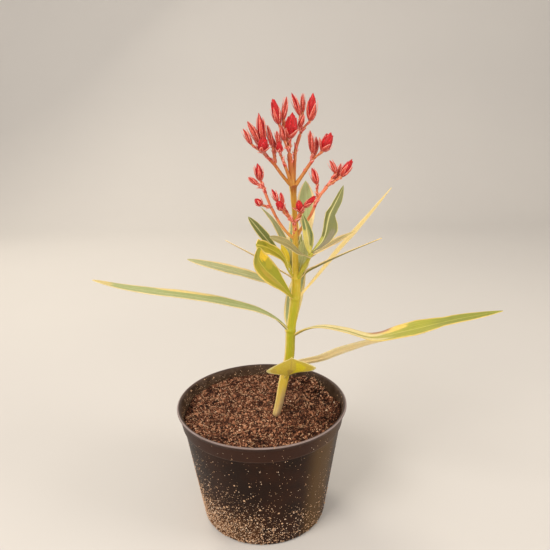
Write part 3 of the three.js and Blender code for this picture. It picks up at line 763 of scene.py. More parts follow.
def leaf_stain(shader, colour, stretch, u, v):
    """A brown stain on the rim where the map is low."""
    low, high = stretch
    there = shader.band(u, low - 0.03, low + 0.02, high - 0.02, high + 0.03)
    return shader.mix(shader.times(there, shader.smooth(v, 0.24, 0.1)), colour, STAIN_TINT)


def leaf_material(name, shown, length, spec):
    """One side of a leaf: its middle with pale streaks, margins, midrib, patches and veins."""
    width = spec["width"]
    shader = Shader(name, Specular_IOR_Level=0.4, Subsurface_Weight=0.15,
                    Subsurface_Radius=(1.0, 0.85, 0.5), Subsurface_Scale=0.0012)
    blade_map = shader.map()
    u, v, _ = shader.parts(blade_map)
    in_mm = shader.stretched(blade_map, (length, width, 0))
    streaks = shader.grain(in_mm, STREAKS, 5, 0.7)
    hairs = shader.grain(in_mm, HAIRS, 4, 0.7)
    wander = shader.grain(in_mm, WANDER, 4, 0.6)
    offset = shader.add(v, -0.5)
    rib_line = rib_ramp(shader, u, spec.get("rib"))
    past_rib = shader.math("SUBTRACT", shader.times(offset, 2), rib_line)
    from_rib = shader.math("ABSOLUTE", past_rib)
    middle = shader.tint(shown["centre"], shown["beyond"], past_rib, -0.02, 0.02)
    colour = shader.tint(middle, shown["streak"], streaks, 0.46, 0.66)
    colour = leaf_patches(shader, colour, shown["patches"], u, v, streaks)
    colour = leaf_margins(shader, colour, shown, offset, wander, streaks)
    rib = RIB_WIDTH / width
    colour = shader.tint(colour, shown["rib"], from_rib, rib * 1.6, rib * 0.5)
    if shown["stain"]:
        colour = leaf_stain(shader, colour, shown["stain"], u, v)
    mottle = shader.noise(in_mm, 0.35, 4, 0.6)
    colour = shader.tint(colour, MOTTLE_TINT, mottle, 0.35, 0.75, 0.14)
    colour = shader.tint(colour, shown["deep"], hairs, 0.58, 0.38, 0.3)
    shader.colour(shader.tint(colour, shown["margin"], hairs, 0.58, 0.74, 0.35))
    shader.roughness(shader.scaled(mottle, 0.2, 0.34))
    slant = shader.math("SUBTRACT", shader.times(u, length), shader.times(from_rib, width * 0.28))
    veins = shader.math("SINE", shader.times(slant, 2 * math.pi / VEIN_GAP))
    shader.bump(shader.add(shader.times(veins, 0.25), mottle), 0.00025, 0.5)
    return shader.material


def leaf_section(number, share, half, across, spec):
    """The lift and thickness over the leaf: a fold, rippled margins, a midrib and a thick stalk."""
    out = np.abs(across)
    bow = np.sin(np.pi * share)[:, None]
    lift = half * spec["fold"] * bow * out**1.1
    height, count = spec["wave"]
    phase = 2 * np.pi * count * share[:, None]
    waves = np.where(across < 0, np.sin(phase + number), np.sin(phase + 1.9 * number + 1))
    lift = lift + height * waves * out**2 * bow
    middle = spread_over(spec.get("rib", (0, 0)), share)[:, None]
    rib = 0.75 * (1 - 0.75 * share)[:, None] * np.exp(-((half * (across - middle) / 0.7) ** 2))
    stalk = 1 - steps(share, 0.04, 0.13)
    thickness = BLADE["thickness"] - (BLADE["thickness"] - BLADE["edge"]) * out**3
    thickness = thickness + rib + stalk[:, None] * 0.9 * (1 - out**4)
    return lift - rib * 0.62, thickness


def make_leaf(number, name, spec):
    """A leaf in place of its plain solid, with its stalk rooted in the stem."""
    spine = Spine(spec["spine"])
    share = np.linspace(0, 1, max(LEAST_ROWS, int(spine.length)))
    across = np.linspace(-1, 1, BLADE_COLUMNS)
    half = blade_width(share, spec) / 2 * (1 + 0.03 * ripple(number, share * spine.length, 0.15))
    both = spec.get("both", (1, 1))
    low, high = (spread_over(spec.get(side, both), share)[:, None] for side in ("low", "high"))
    half = half[:, None] * np.where(across < 0, low, high)
    lift, thickness = leaf_section(number, share, half, across, spec)
    form = Form()
    tones = np.array([0] * BLADE_COLUMNS + [1] * BLADE_COLUMNS)
    wanted = spread_over(spec["face"], share)
    points = spine.walk(share)
    blade(form, points, wanted, half, lift, thickness, BLADE_COLUMNS, tones, mapped=True)
    sides = ("upper", "under")
    looks = [spec.get(side, UNDER_LOOK) for side in sides]
    materials = [leaf_material(f"{name}_{s}", shown, spine.length, spec)
                 for s, shown in zip(sides, looks)]
    form.make(f"{name}_blade", materials, name, "leaf")


# Stem, shoots and flower stalks

# Colours up the bark: height and tint.
STEM_STOPS = [
    (90, "cdb386"), (104, "ccb468"), (118, "c6ac3c"), (134, "c0a822"), (146, "b6ae1c"),
    (164, "b6b024"), (190, "bcaf2e"), (207, "c4ad30"), (226, "c8ac36"), (235, "b8962c"),
    (239, "a0781e"), (244, "c8a236"), (252, "cea636"), (260, "c09230"), (266, "c09028"),
    (271, "ac7a1e"), (276, "985a16"), (280, "8c4416"),
]
SHOOT_STOPS = [
    (200, "aca632"), (216, "b0ac34"), (232, "bcb84a"),
]
BRANCH_STOPS = [
    (276, "b47030"), (280, "bf8434"), (288, "bd7634"), (297, "bb5f34"), (318, "d4745a"),
]
STALK_STOPS = [
    (233, "e0b65e"), (246, "e09e5a"), (258, "d67a50"), (280, "da7c5c"),
]
FRONT_STOPS = [
    (230, "d8bc44"), (243, "d6a844"), (249, "d88850"), (256, "dc7454"),
]


# How fine the bark's fibres and blotches are, along each axis, in marks to the metre.
BARK_FIBRES = (1100, 1100, 90)
BARK_BLOTCHES = (180, 180, 60)


def stem_sides(shader, colour, z, fibres, blotches):
    """The stem's painted highlight down its left edge, its greener middle, and the grey-brown old
    bark of its foot.
    """
    _, leftward, _ = shader.parts(shader.map())
    # A painted highlight: pale cream down the stem's left edge.
    colour = shader.tint(colour, "efd98c", shader.ragged(leftward, fibres, 0.3), 0.68, 0.9, 0.8)
    green = shader.band(z, 0.13, 0.15, 0.18, 0.2)
    middle = shader.times(green, shader.smooth(shader.math("ABSOLUTE", leftward), 0.7, 0.2))
    colour = shader.mix(shader.times(middle, 0.5), colour, "919c12")
    low = shader.smooth(shader.ragged(z, blotches, 0.02), 0.122, 0.102)
    grey = shader.times(shader.smooth(shader.times(leftward, -1), -0.35, 0.35), low)
    colour = shader.mix(shader.times(grey, 0.85), colour, "9c8468")
    return shader.tint(colour, "7a5a40", z, 0.097, 0.0935, 0.5)


def bark_material(name, stops, foot=False):
    """Smooth young bark whose colour changes with height, with fine fibres, blotches and dots."""
    shader = Shader(name, Specular_IOR_Level=0.4, Subsurface_Weight=0.1, Subsurface_Scale=0.001)
    place = shader.place()
    _, _, z = shader.parts(place)
    fibres = shader.grain(place, BARK_FIBRES, 4, 0.6)
    blotches = shader.grain(place, BARK_BLOTCHES, 4, 0.6)
    colour = shader.ramp(shader.ragged(z, blotches, 0.012), [(h * MM, c) for h, c in stops])
    colour = shader.tint(colour, "e6d488", fibres, 0.5, 0.75, 0.4)
    colour = shader.tint(colour, "86601f", blotches, 0.56, 0.75, 0.35)
    if foot:
        colour = stem_sides(shader, colour, z, fibres, blotches)
    shader.colour(colour)
    shader.roughness(shader.scaled(fibres, 0.2, 0.38))
    dots, _ = shader.cells(place, 420)
    relief = shader.add(fibres, shader.times(shader.smooth(dots, 0.35, 0.1), 0.4))
    shader.bump(relief, 0.0003, 0.7)
    return shader.material


def limb_rings(stations, each, columns, relief):
    """Rings round a limb through its stations, with a share of relief from noise."""
    spine = Spine(stations)
    radii = np.array([s[3] for s in stations], float)
    rows = max(8, int(spine.length / each))
    share = np.linspace(0, 1, rows)
    points = spine.stations(share)
    place = share * (len(radii) - 1)
    index = np.minimum(place.astype(int), len(radii) - 2)
    radius = radii[index] + (radii[index + 1] - radii[index]) * steps(place - index, 0, 1)
    _, normals, sides = frames(points, np.array((0.0, 1.0, 0.0)))
    angle = turns(columns)
    outward = normals[:, None] * np.cos(angle)[:, None] + sides[:, None] * np.sin(angle)[:, None]
    where = points[:, None] * 0.35 + outward * 1.3
    rough = np.array([[noise.noise(Vector(w)) for w in ring] for ring in where])
    grooves = np.array([[noise.noise(Vector((*(3.2 * o[:2]), p[2] * 0.12))) for o in ring]
                        for p, ring in zip(points, outward)])
    return points, outward, radius[:, None] * (1 + relief * (rough + 0.7 * grooves)), angle


def make_bark(name, rings, stops, node, slot, foot=False):
    """Bark over a limb's rings. Its map has no seam: how far a point faces back, and left."""
    points, outward, radius, angle = rings
    form = Form()
    maps = np.broadcast_to(circle(angle), (len(points), len(angle), 2))
    form.tube(points[:, None] + outward * radius[..., None], maps=maps)
    form.make(name, [bark_material(name, stops, foot)], node, slot)


def make_stem():
    """The main stem, with a ring at each node and a ridge that runs down from it."""
    points, outward, radius, angle = limb_rings(STEM, 0.6, 40, 0.05)
    z = points[:, 2]
    for height, stands, facing in STEM_NODES:
        toward = 0.5 + 0.5 * np.cos(angle - math.radians(facing))
        ring = hill(z, height, 1.1)[:, None] * (0.45 + 0.75 * toward**2)
        fade = steps(z, height + 1.5, height - 1.5)
        below = (np.exp((z - height).clip(-60, 0) / 12) * fade)[:, None]
        radius = radius + stands * (ring + 0.6 * below * toward**6)
    rings = points, outward, radius, angle
    make_bark("stem_bark", rings, STEM_STOPS, "stem", "stem", foot=True)


def limb_stops(name):
    if name.startswith("shoot"):
        return SHOOT_STOPS
    if name.startswith("branch"):
        return BRANCH_STOPS
    return FRONT_STOPS if name == "flower_stalk_front" else STALK_STOPS


def make_limbs():
    """The shoots, stalks and branches, each rounded off at its end."""
    for name, stations in LIMBS.items():
        points, outward, radius, angle = limb_rings(stations, 0.5, 24, 0.1)
        last = np.linalg.norm(points - points[-1], axis=1)
        radius = radius * np.sqrt(steps(last, -0.4, 1.4))[:, None]
        slot = "stem" if name.startswith("shoot") else "twig"
        make_bark(f"{name}_bark", (points, outward, radius, angle), limb_stops(name), name, slot)


# Flower heads

# The outline of a bud: the share of its length, and the share of its radius.
BUD_PROFILE = [
    (0, 0.3), (0.08, 0.62), (0.2, 0.88), (0.42, 1), (0.6, 0.88), (0.75, 0.66), (0.9, 0.36),
    (1, 0.06),
]
# Tones from dark to pale: the dark ones are painted shade, the pale ones painted highlight, and on
# the sepals also their own pale pink edges.
SEPAL_TONES = ["a02a20", "c8483a", "e26c5e", "f09488", "fac2b6"]
PETAL_TONES = ["8e0610", "c80c18", "e01c2a", "f26a78"]
TWIG_TONES = ["ba6238", "d07a4e", "e09468"]
SEPALS = len(SEPAL_TONES)
FLAPS = 5  # petals or sepals round a bud
BRACTS = 3
TWIG_COLUMNS = 12

# Rows along and columns across.
CORE_GRID = (16, 20)
SEPAL_GRID = (16, 7)
PETAL_GRID = (14, 11)
BRACT_GRID = (8, 5)

# How a flap's tones go up from its foot and middle, along it and towards its rim: painted shade low
# down and in the middle, painted highlight at the tip and rim, which on the sepals is also their
# own pale edge.
SEPAL_SHADING = {"along": 2.1, "rim": 2.2, "power": 2, "count": SEPALS}
PETAL_SHADING = {"along": 0.8, "rim": 1.5, "power": 3, "count": len(PETAL_TONES), "first": SEPALS}


def satin(name, code, other, sheen):
    """Soft flower tissue: two near tones in fine streaks, with a low sheen."""
    shader = Shader(name, Specular_IOR_Level=0.35, Sheen_Weight=sheen, Sheen_Roughness=0.4,
                    Subsurface_Weight=0.15, Subsurface_Scale=0.001)
    fine = shader.grain(shader.place(), (900, 900, 350), 4, 0.65)
    shader.colour(shader.tint(code, other, fine, 0.35, 0.7))
    shader.roughness(shader.scaled(fine, 0.25, 0.34))
    shader.bump(fine, 0.0002, 0.5)
    return shader.material


def tone_list(kind, tones, sheen):
    """A material for each tone, streaked with the tone before it."""
    others = [tones[1], *tones]
    return [satin(f"{kind}_{i + 1}", code, others[i], sheen) for i, code in enumerate(tones)]


def bud_radius(share, radius):
    at, out = zip(*BUD_PROFILE)
    return np.interp(share, at, out) * radius


def across_axis(axis):
    """Two directions square to an axis and to each other."""
    helper = np.array((1.0, 0, 0)) if abs(axis[0]) < 0.9 else np.array((0, 1.0, 0))
    first = unit(np.cross(axis, helper))
    return first, np.cross(axis, first)


class Bud:
    """Where a bud stands: its foot, its axis, its length and its radius."""

    def __init__(self, base, tip, radius):
        self.start = np.array(base, float)
        along = np.array(tip, float) - self.start
        self.length = np.linalg.norm(along)
        self.axis = along / self.length
        self.radius = radius
        self.first, self.second = across_axis(self.axis)

    def away(self, angle):
        angle = np.asarray(angle)[..., None]
        return np.cos(angle) * self.first + np.sin(angle) * self.second

    def places(self, up, out, away):
        """Points at shares up the bud, each out from its axis."""
        return self.start + self.axis * (up * self.length)[:, None] + away * out[:, None]


def flap_grid(grid):
    """The shares along a flap and the places across it."""
    return np.linspace(0, 1, grid[0]), np.linspace(-1, 1, grid[1])


def curl(half, across, out, flatness):
    """The lift of a flap that bends round its bud."""
    return -((half[:, None] * across) ** 2) / (flatness * np.maximum(out, 0.6))[:, None]


def flap_tones(rows, columns, rng, along, rim, power, count, first=0):
    """Tones that go up from the foot and middle of a flap to its tip and margins: painted shade low
    down, painted highlight towards the tip and margins, partly the sepals' own pale edges.
    """
    out = np.abs(np.linspace(-1, 1, columns))
    row = np.linspace(0, 1, rows - 1)[:, None]
    depth = 0.5 + along * row + rim * out**power + rng.uniform(-0.8, 0.8, (rows - 1, columns))
    top = np.clip(depth, 0, count - 1).astype(int) + first
    return np.concatenate([top, top[:, ::-1]], 1)


def flap(form, points, away, half, lift, thinning, rng, shading):
    """A thin flap of flower tissue, thinner towards its margins."""
    rows, columns = lift.shape
    thickness = 0.3 - thinning * np.abs(np.linspace(-1, 1, columns))
    tones = flap_tones(rows, columns, rng, **shading)
    blade(form, points, away, half, lift, thickness, columns, tones)


def sepal(form, bud, around, high, spread, rng):
    """A narrow pointed sepal that hugs the bud and leaves it towards the tip."""
    share, across = flap_grid(SEPAL_GRID)
    up = high * share
    out = bud_radius(np.clip(up, 0, 1), bud.radius) * (0.97 + 0.05 * share) + 0.12
    out = out + spread * bud.radius * share**2.5
    away = bud.away(around + 0.3 * share)
    taper = steps(share, -0.3, 0.3) * (1 - share**1.6) ** 0.75
    half = np.maximum(rng.uniform(0.44, 0.52) * bud.radius * taper, 0.1)
    keel = 0.16 * (1 - np.abs(across)) ** 2 * (1 - share)[:, None]
    lift = curl(half, across, out, 1.6) + keel
    flap(form, bud.places(up, out, away), away, half, lift, 0.12, rng, SEPAL_SHADING)


def petal(form, bud, around, high, flare, rng):
    """A broad red petal, wrapped half over the next one and twisted with it."""
    share, across = flap_grid(PETAL_GRID)
    up = 0.1 + (high - 0.1) * share
    out = bud_radius(np.clip(up, 0, 1), bud.radius) * 0.86 + flare * bud.radius * share**3
    away = bud.away(around + 0.8 * share)
    taper = np.sin(np.pi * np.clip(share * 0.8 + 0.16, 0, 1)) ** 0.7
    half = np.maximum(0.72 * bud.radius * taper, 0.12)
    overlap = 0.1 * bud.radius * across * share[:, None]
    ruffle = 0.1 * np.sin(7 * across + 9 * share[:, None] + around * FLAPS) * share[:, None]
    lift = curl(half, across, out, 2) + overlap + ruffle
    flap(form, bud.places(up, out, away), away, half, lift, 0.12, rng, PETAL_SHADING)


def bud_core(form, bud, opened, rng):
    """The twisted body inside the sepals, deep red, or deep coral where the bud is still shut."""
    rows, columns = CORE_GRID
    share = np.linspace(0, 1, rows)
    points = bud.start + bud.axis * (share * bud.length)[:, None]
    angle = turns(columns)
    twist = 1 + 0.07 * np.cos(FLAPS * (angle + 1.2 * share[:, None]))
    out = bud_radius(share, bud.radius)[:, None] * (0.82 - 0.06 * opened) * twist
    outward = np.broadcast_to(bud.away(-angle), (rows, columns, 3))
    first = SEPALS if opened > 0.05 else 0
    tones = first + rng.integers(0, 2, (rows - 1, columns))
    form.tube(points[:, None] + outward * out[..., None], tones)


def make_bud(form, bud, opened, rng):
    """A bud: a twisted body, red petals wrapped round it once it opens, and pointed sepals."""
    bud_core(form, bud, opened, rng)
    turn = rng.uniform(0, 2 * math.pi)
    each = 2 * math.pi / FLAPS
    if opened >= 0.3:
        for i in range(FLAPS):
            high = rng.uniform(0.8, 0.99)
            petal(form, bud, turn + i * each, high, rng.uniform(0.0, 0.2) * opened, rng)
    reach = 1.0 - 0.48 * opened
    for i in range(FLAPS):
        high = min(reach * rng.uniform(0.84, 1.02), 1.0)
        sepal(form, bud, turn + each / 2 + i * each, high, rng.uniform(0.05, 0.75), rng)


def bract(form, place, direction, length, start, rng):
    """A small pointed scale that leaves a twig from start, its distance from the middle."""
    share, across = flap_grid(BRACT_GRID)
    sideways = unit(np.cross(direction, rng.normal(size=3)))
    out = start + share**2 * length * 0.3
    points = place + direction * (share * length)[:, None] + sideways * out[:, None]
    half = 0.24 * length * np.sin(np.pi * np.clip(0.3 + 0.7 * share, 0, 1)) ** 0.9 + 0.08
    lift = -0.5 * (half[:, None] * across) ** 2
    flap(form, points, sideways, half, lift, 0.1, rng, SEPAL_SHADING)


def twig(form, inner, root, bud, rng):
    """A twig from inside the limb that carries the head to inside the bud's foot, and its bend."""
    inside = bud.start + bud.axis * bud.length * 0.2
    bend = (root + inside) / 2
    bend[2] -= np.linalg.norm(inside - root) * 0.08
    thick = min(1.15, 0.75 + 0.12 * bud.radius)
    foot = bud.start + bud.axis * bud.length * 0.02
    stations = [(*inner, 1.0), (*root, 1.1), (*bend, 0.8), (*foot, thick), (*inside, thick * 0.9)]
    points, outward, radius, _ = limb_rings(stations, 0.6, TWIG_COLUMNS, 0.14)
    tones = rng.integers(0, len(TWIG_TONES), (len(points) - 1, TWIG_COLUMNS))
    form.tube(points[:, None] + outward * radius[..., None], tones)
    return bend


def dress_limb(form, name, rng):
    """Narrow scales that hug the upper part of the limb below a head."""
    stations = LIMBS[name]
    spine = Spine(stations)
    for share in rng.uniform(0.5, 0.94, BRACTS):
        low, high = spine.walk([share, share + 0.05])
        bract(form, low, unit(high - low), rng.uniform(3.6, 5.6), stations[-1][3] * 0.85, rng)


def make_heads(sepals, petals, twigs):
    """Each flower head: its blossom as one piece and its twigs as another."""
    for number, (name, spec) in enumerate(HEADS.items()):
        rng = np.random.default_rng(SEEDS["heads"] + number)
        blossom, stalks = Form(), Form()
        root = np.array(spec["root"], float)
        inner = Spine(LIMBS[spec["on"]]).nearest(root)
        for base, tip, radius, opened in spec["buds"]:
            bud = Bud(base, tip, radius)
            bend = twig(stalks, inner, root, bud, rng)
            make_bud(blossom, bud, opened, rng)
            direction = unit(bend - root)
            onward = unit(bud.start - bend)
            for _ in range(BRACTS):
                bract(blossom, root - direction * 0.5, direction, rng.uniform(3.6, 6.0), 0.75, rng)
                bract(blossom, bend, onward, rng.uniform(2.8, 5.0), 0.6, rng)
        dress_limb(blossom, spec["on"], rng)
        blossom.make(f"{name}_blossom", sepals + petals, name, "bud")
        stalks.make(f"{name}_twigs", twigs, name, "twig")


# Pot

COLLAR_FOOT = POT["height"] - POT["collar"]
WALL_TOP = POT["rim"] - POT["lip"] - POT["flare"] - POT["step"]
LIP_INSIDE = POT["rim"] - 3.2
LIP_ROLL = 0.95
LIP_ROWS = 14
POT_COLUMNS = 240

# The bend from the wall to the collar: how far out and how far up.
STEP_BEND = [(0.02, -0.3), (0.35, 0), (1.05, 0.35), (1.35, 0.9)]

PLASTIC_TINTS = ("1c0c04", "2c1508")
# The strip's tint, a painted reflection down the right side of the body.
REFLECTION_STRIP_TINT = "5e441c"
COLLAR_TINT = "3c241b"
# The step's tint, a painted highlight line along the collar's foot.
STEP_HIGHLIGHT_TINT = "5b3d2c"
# The lip's own tint, then the painted highlight on its outer edge.
LIP_TINT_AND_HIGHLIGHT = ("443834", "8e8284")
WORN_TINT = "685650"
HAZE_TINT = "8a5a36"
INSIDE_TINTS = ("38291f", "54443a")
SPLASH_TINT = "54402f"

# Grains drawn in the plastic: cells to the metre, the share that is kept, and their tint.
SPECKS = ((420, 0.5, "cca888"), (900, 0.8, "b09070"))


def wall_at(z):
    """The radius of the outside of the wall below the collar."""
    return POT["base"] + (WALL_TOP - POT["base"]) * z / COLLAR_FOOT


def inner_radius(z):
    """The radius of the inside of the pot."""
    if z < COLLAR_FOOT:
        return wall_at(z) - POT["wall"]
    start = WALL_TOP + POT["step"] - POT["wall"]
    return start + (LIP_INSIDE - start) * (z - COLLAR_FOOT) / POT["collar"]


def pot_outside():
    """The outline as radius and height, from near the underside's middle up to the collar's top."""
    base, chamfer = POT["base"], POT["chamfer"]
    foot = [(base * 0.2, 0), (base - chamfer - 1, 0), (base - chamfer, 0.05)]
    foot += [(base - chamfer * 0.45, 0.35), (base - chamfer * 0.1, 1.0)]
    foot += [(wall_at(chamfer * 1.5), chamfer * 1.5)]
    wall = [(wall_at(z), z) for z in np.linspace(4, COLLAR_FOOT - 1, 24)]
    step = [(WALL_TOP + out, COLLAR_FOOT + up) for out, up in STEP_BEND]
    r0, z0 = WALL_TOP + POT["step"] + 0.05, COLLAR_FOOT + 1.4
    r1, z1 = POT["rim"] - 1.9, POT["height"] - 3.4
    collar = [(r0 + (r1 - r0) * t, z0 + (z1 - z0) * t) for t in np.linspace(0, 1, 8)]
    return foot + wall + step + collar


def pot_inside():
    """The rolled lip and the outline down the inside to near the middle of the floor."""
    rim, height, floor, roll = POT["rim"], POT["height"], POT["floor"], LIP_ROLL
    bend = np.radians(np.linspace(-60, 125, LIP_ROWS))
    lip = [(rim - roll + roll * math.cos(a), height - roll + roll * math.sin(a)) for a in bend]
    inside = [(rim - 2.5, height - 0.8), (LIP_INSIDE, height - 1.8)]
    inside += [(inner_radius(z), z) for z in np.linspace(height - 3.5, COLLAR_FOOT + 0.6, 8)]
    inside += [(WALL_TOP - POT["wall"] + 0.2, COLLAR_FOOT - 0.6)]
    inside += [(inner_radius(z), z) for z in np.linspace(COLLAR_FOOT - 3, floor + 0.5, 12)]
    return lip + inside + [(wall_at(floor) - POT["wall"] - 1, floor), (POT["base"] * 0.2, floor)]


def specks(shader, colour, place, density):
    """Grains of two sizes, in cells that are chosen more often where the density is higher."""
    for scale, keep, code in SPECKS:
        distance, cell = shader.cells(place, scale)
        chosen = shader.math("LESS_THAN", cell[0], shader.times(density, keep))
        inside = shader.math("LESS_THAN", distance, shader.scaled(cell[1], 0.25, 0.16))
        colour = shader.mix(shader.times(chosen, inside), colour, code)
    return colour


def lip_highlight_and_wear(shader, z, out, cloud):
    """The lip's own tint, with a painted highlight on its outer top edge and paler worn patches."""
    top, rim = POT["height"] * MM, POT["rim"] * MM
    # The mask for the painted highlight on the lip's outer top edge.
    outer = shader.smooth(out, rim - 0.0014, rim - 0.0009)
    edge = shader.times(outer, shader.smooth(z, top - 0.001, top - 0.0005))
    return shader.tint(shader.mix(edge, *LIP_TINT_AND_HIGHLIGHT), WORN_TINT, cloud, 0.45, 0.65, 0.4)


def pot_material():
    """Black-brown moulded plastic, dusty low down and to the left, with a painted reflection down
    the right side, a painted highlight line at the collar's foot and a painted highlight on the
    lip's outer edge.
    """
    shader = Shader("pot_plastic", Specular_IOR_Level=0.14)
    place = shader.place()
    x, y, z = shader.parts(place)
    cloud = shader.noise(place, 40, 5, 0.6)
    grime = shader.noise(place, 160, 5, 0.65)
    colour = shader.tint(*PLASTIC_TINTS, cloud, 0.35, 0.7)
    across = shader.math("ARCTAN2", x, shader.times(y, -1))
    # A painted reflection: an olive strip down the right side of the body.
    reflection_strip = shader.band(across, 0.5, 0.8, 0.95, 1.25)
    colour = shader.mix(shader.times(reflection_strip, 0.6), colour, REFLECTION_STRIP_TINT)
    foot, top = COLLAR_FOOT * MM, POT["height"] * MM
    colour = shader.tint(colour, COLLAR_TINT, z, foot - 0.0005, foot + 0.001, 0.55)
    # A painted highlight: a faint pale line along the collar's foot.
    step = shader.band(z, foot - 0.0006, foot, foot + 0.0008, foot + 0.0016)
    colour = shader.mix(shader.times(step, 0.3), colour, STEP_HIGHLIGHT_TINT)
    lip_with_highlight_and_wear = lip_highlight_and_wear(shader, z, shader.distance(x, y), cloud)
    colour = shader.tint(colour, lip_with_highlight_and_wear, z, top - 0.0016, top - 0.0009)
    leftward = shader.smooth(across, 0.6, -0.9)
    low = shader.smooth(shader.ragged(z, cloud, 0.03), 0.062, 0.004)
    density = shader.times(low, shader.scaled(leftward, 0.8, 0.2))
    haze = shader.times(shader.times(density, density), shader.smooth(grime, 0.3, 0.7))
    colour = shader.mix(shader.times(haze, 0.7), colour, HAZE_TINT)
    shader.colour(specks(shader, colour, place, shader.add(density, 0.015)))
    shader.roughness(shader.add(shader.scaled(grime, 0.2, 0.32), shader.times(density, 0.35)))
    fine = shader.noise(place, 900, 3, 0.6)
    rings = shader.math("SINE", shader.times(z, 2 * math.pi / 0.0023))
    relief = shader.add(shader.times(fine, 0.6), shader.times(rings, 0.06))
    shader.bump(relief, 0.00025, 0.45)
    return shader.material


def inside_material():
    """The same plastic inside, dull with dried splashes."""
    shader = Shader("pot_inside", Specular_IOR_Level=0.14)
    place = shader.place()
    _, _, z = shader.parts(place)
    cloud = shader.noise(place, 90, 5, 0.65)
    colour = shader.tint(*INSIDE_TINTS, cloud, 0.35, 0.65)
    high, low = POT["height"] * MM - 0.003, SOIL["level"] * MM
    colour = shader.tint(colour, SPLASH_TINT, z, high, low, 0.5)
    shader.colour(specks(shader, colour, place, shader.scaled(cloud, 0.5, -0.1)))
    shader.roughness(shader.scaled(cloud, 0.3, 0.45))
    shader.bump(shader.noise(place, 900, 3, 0.6), 0.0003, 0.5)
    return shader.material


def drain_holes():
    """Pegs where the holes go through the pot's floor."""
    form = Form()
    round_hole = circle(turns(24))
    for i in range(DRAIN["count"]):
        angle = (i + 0.5) / DRAIN["count"] * 2 * math.pi
        middle = np.array((math.cos(angle), math.sin(angle))) * DRAIN["ring"]
        ring = middle + DRAIN["radius"] * round_hole
        heights = (-POT["floor"], 2 * POT["floor"])
        form.tube(np.array([np.column_stack([ring, np.full(len(ring), z)]) for z in heights]))
    return bpy.data.objects.new("drain_pegs", form.mesh("drain_pegs", []))


def make_pot():
    """The pot, turned from its outline, a little out of round, with its drain holes cut."""
    profile = np.array(pot_outside() + pot_inside(), float)
    angle = turns(POT_COLUMNS)
    outward = np.stack([np.cos(angle), np.sin(angle), np.zeros(len(angle))], -1)
    where = [Vector((math.cos(a) * 1.4, math.sin(a) * 1.4, 3.3)) for a in angle]
    dent = np.array([noise.noise(w) for w in where])
    sway = (profile[:, 1] / POT["height"])[:, None] * dent * 0.25
    grid = outward[None] * (profile[:, 0][:, None] + sway)[..., None]
    grid[..., 2] = profile[:, 1][:, None]
    form = Form()
    inside = np.arange(len(profile) - 1) >= len(pot_outside()) + LIP_ROWS
    form.tube(grid, inside.astype(int)[:, None])
    plastic = [pot_material(), inside_material()]
    whole = bpy.data.objects.new("pot_whole", form.mesh("pot_whole", plastic))
    pegs = drain_holes()
    for made in (whole, pegs):
        bpy.context.scene.collection.objects.link(made)
    cut = whole.modifiers.new("holes", "BOOLEAN")
    cut.operation, cut.object, cut.solver = "DIFFERENCE", pegs, "EXACT"
    finished = whole.evaluated_get(bpy.context.evaluated_depsgraph_get())
    holed = bpy.data.meshes.new_from_object(finished)
    holed.name = "pot_shell"
    for made in (whole, pegs):
        bpy.data.objects.remove(made)
    piece(holed, "pot")


# Soil

PEAT_TONES = ["2b1710", "653d2c", "936149", "bf8d6e", "e6c0a2"]
GRAIN_TONES = ["ecdac6", "cca88a", "a07a5e"]

# Rises and hollows against the wall of the pot: x, y, reach and height.
SOIL_SHAPES = [
    (-66, 4, 17, -5), (-54, 36, 14, -2), (62, -8, 20, 2.6), (54, 40, 9, -5.5), (62, 24, 6, -4),
    (36, 52, 9, -1.5), (40, 40, 9, 1.5),
]

# Big clods at the back right: x, y and radius.
CLODS = [
    (38, 45, 5.4), (45, 37, 5.2), (50, 27, 5.0), (53, 17, 4.4), (42, 25, 4.2), (33, 50, 4.0),
    (46, 47, 3.4), (57, 9, 3.4), (31, 37, 3.2),
]

# The brightest grains: pixels across and down the photograph, and radius.
BRIGHT_GRAINS = [
    (233.6, 401.4, 0.9), (290.6, 400.4, 1.0), (326.4, 412.5, 1.3), (239.6, 429.7, 1.2),
    (269, 436, 0.8), (246.6, 396, 0.7), (309, 434.8, 0.8), (334, 405.5, 0.8),
    (300, 412, 0.7), (317, 416, 0.7),
]
# How high the grains lie for the camera that sees them.
GRAIN_LEVEL = SOIL["level"] + 1


# Loose matter: how many, how far inside the bed's edge, how far sunk, their sizes and tones.
SOIL_LAYERS = {
    "soil_crumbs": {
        "count": 9400, "inset": 0.6, "sink": 0.15, "sizes": (0.35, 0.95),
        "tones": [0, 0, 1, 1, 2, 2, 3, 4],
    },
    "soil_fines": {
        "count": 4600, "inset": 0.8, "sink": 0.75, "sizes": (0.2, 0.45),
        "tones": [1, 2, 2, 3, 3, 4],
    },
}
SMALL_CLODS = {"count": 620, "inset": 2, "sink": 0.2, "sizes": (0.8, 1.6)}
FIBRES = {"count": 380, "inset": 3, "sink": 0.8, "tones": [1, 2, 2, 2, 2]}
GRIT = {"count": 130, "inset": 2, "sink": 0.8, "sizes": (0.25, 0.6), "tones": [0, 1, 1]}
CRUST = {"count": 60, "sizes": (0.35, 0.9), "tones": [1, 2, 2, 3, 4]}
BED_COLUMNS = 320
BED_RINGS = 130
BED_TONES = [0, 0, 1, 1, 2]

# Grains of dust on the wall, inside above the soil, and on the collar.
WALL_DUST = {"count": 5600, "tones": [0, 0, 1, 1, 2]}
INNER_DUST = {"count": 260, "sizes": (0.15, 0.4), "tones": [0, 1, 2]}
COLLAR_DUST = {"count": 90, "sizes": (0.15, 0.42), "tones": [0, 0, 1]}


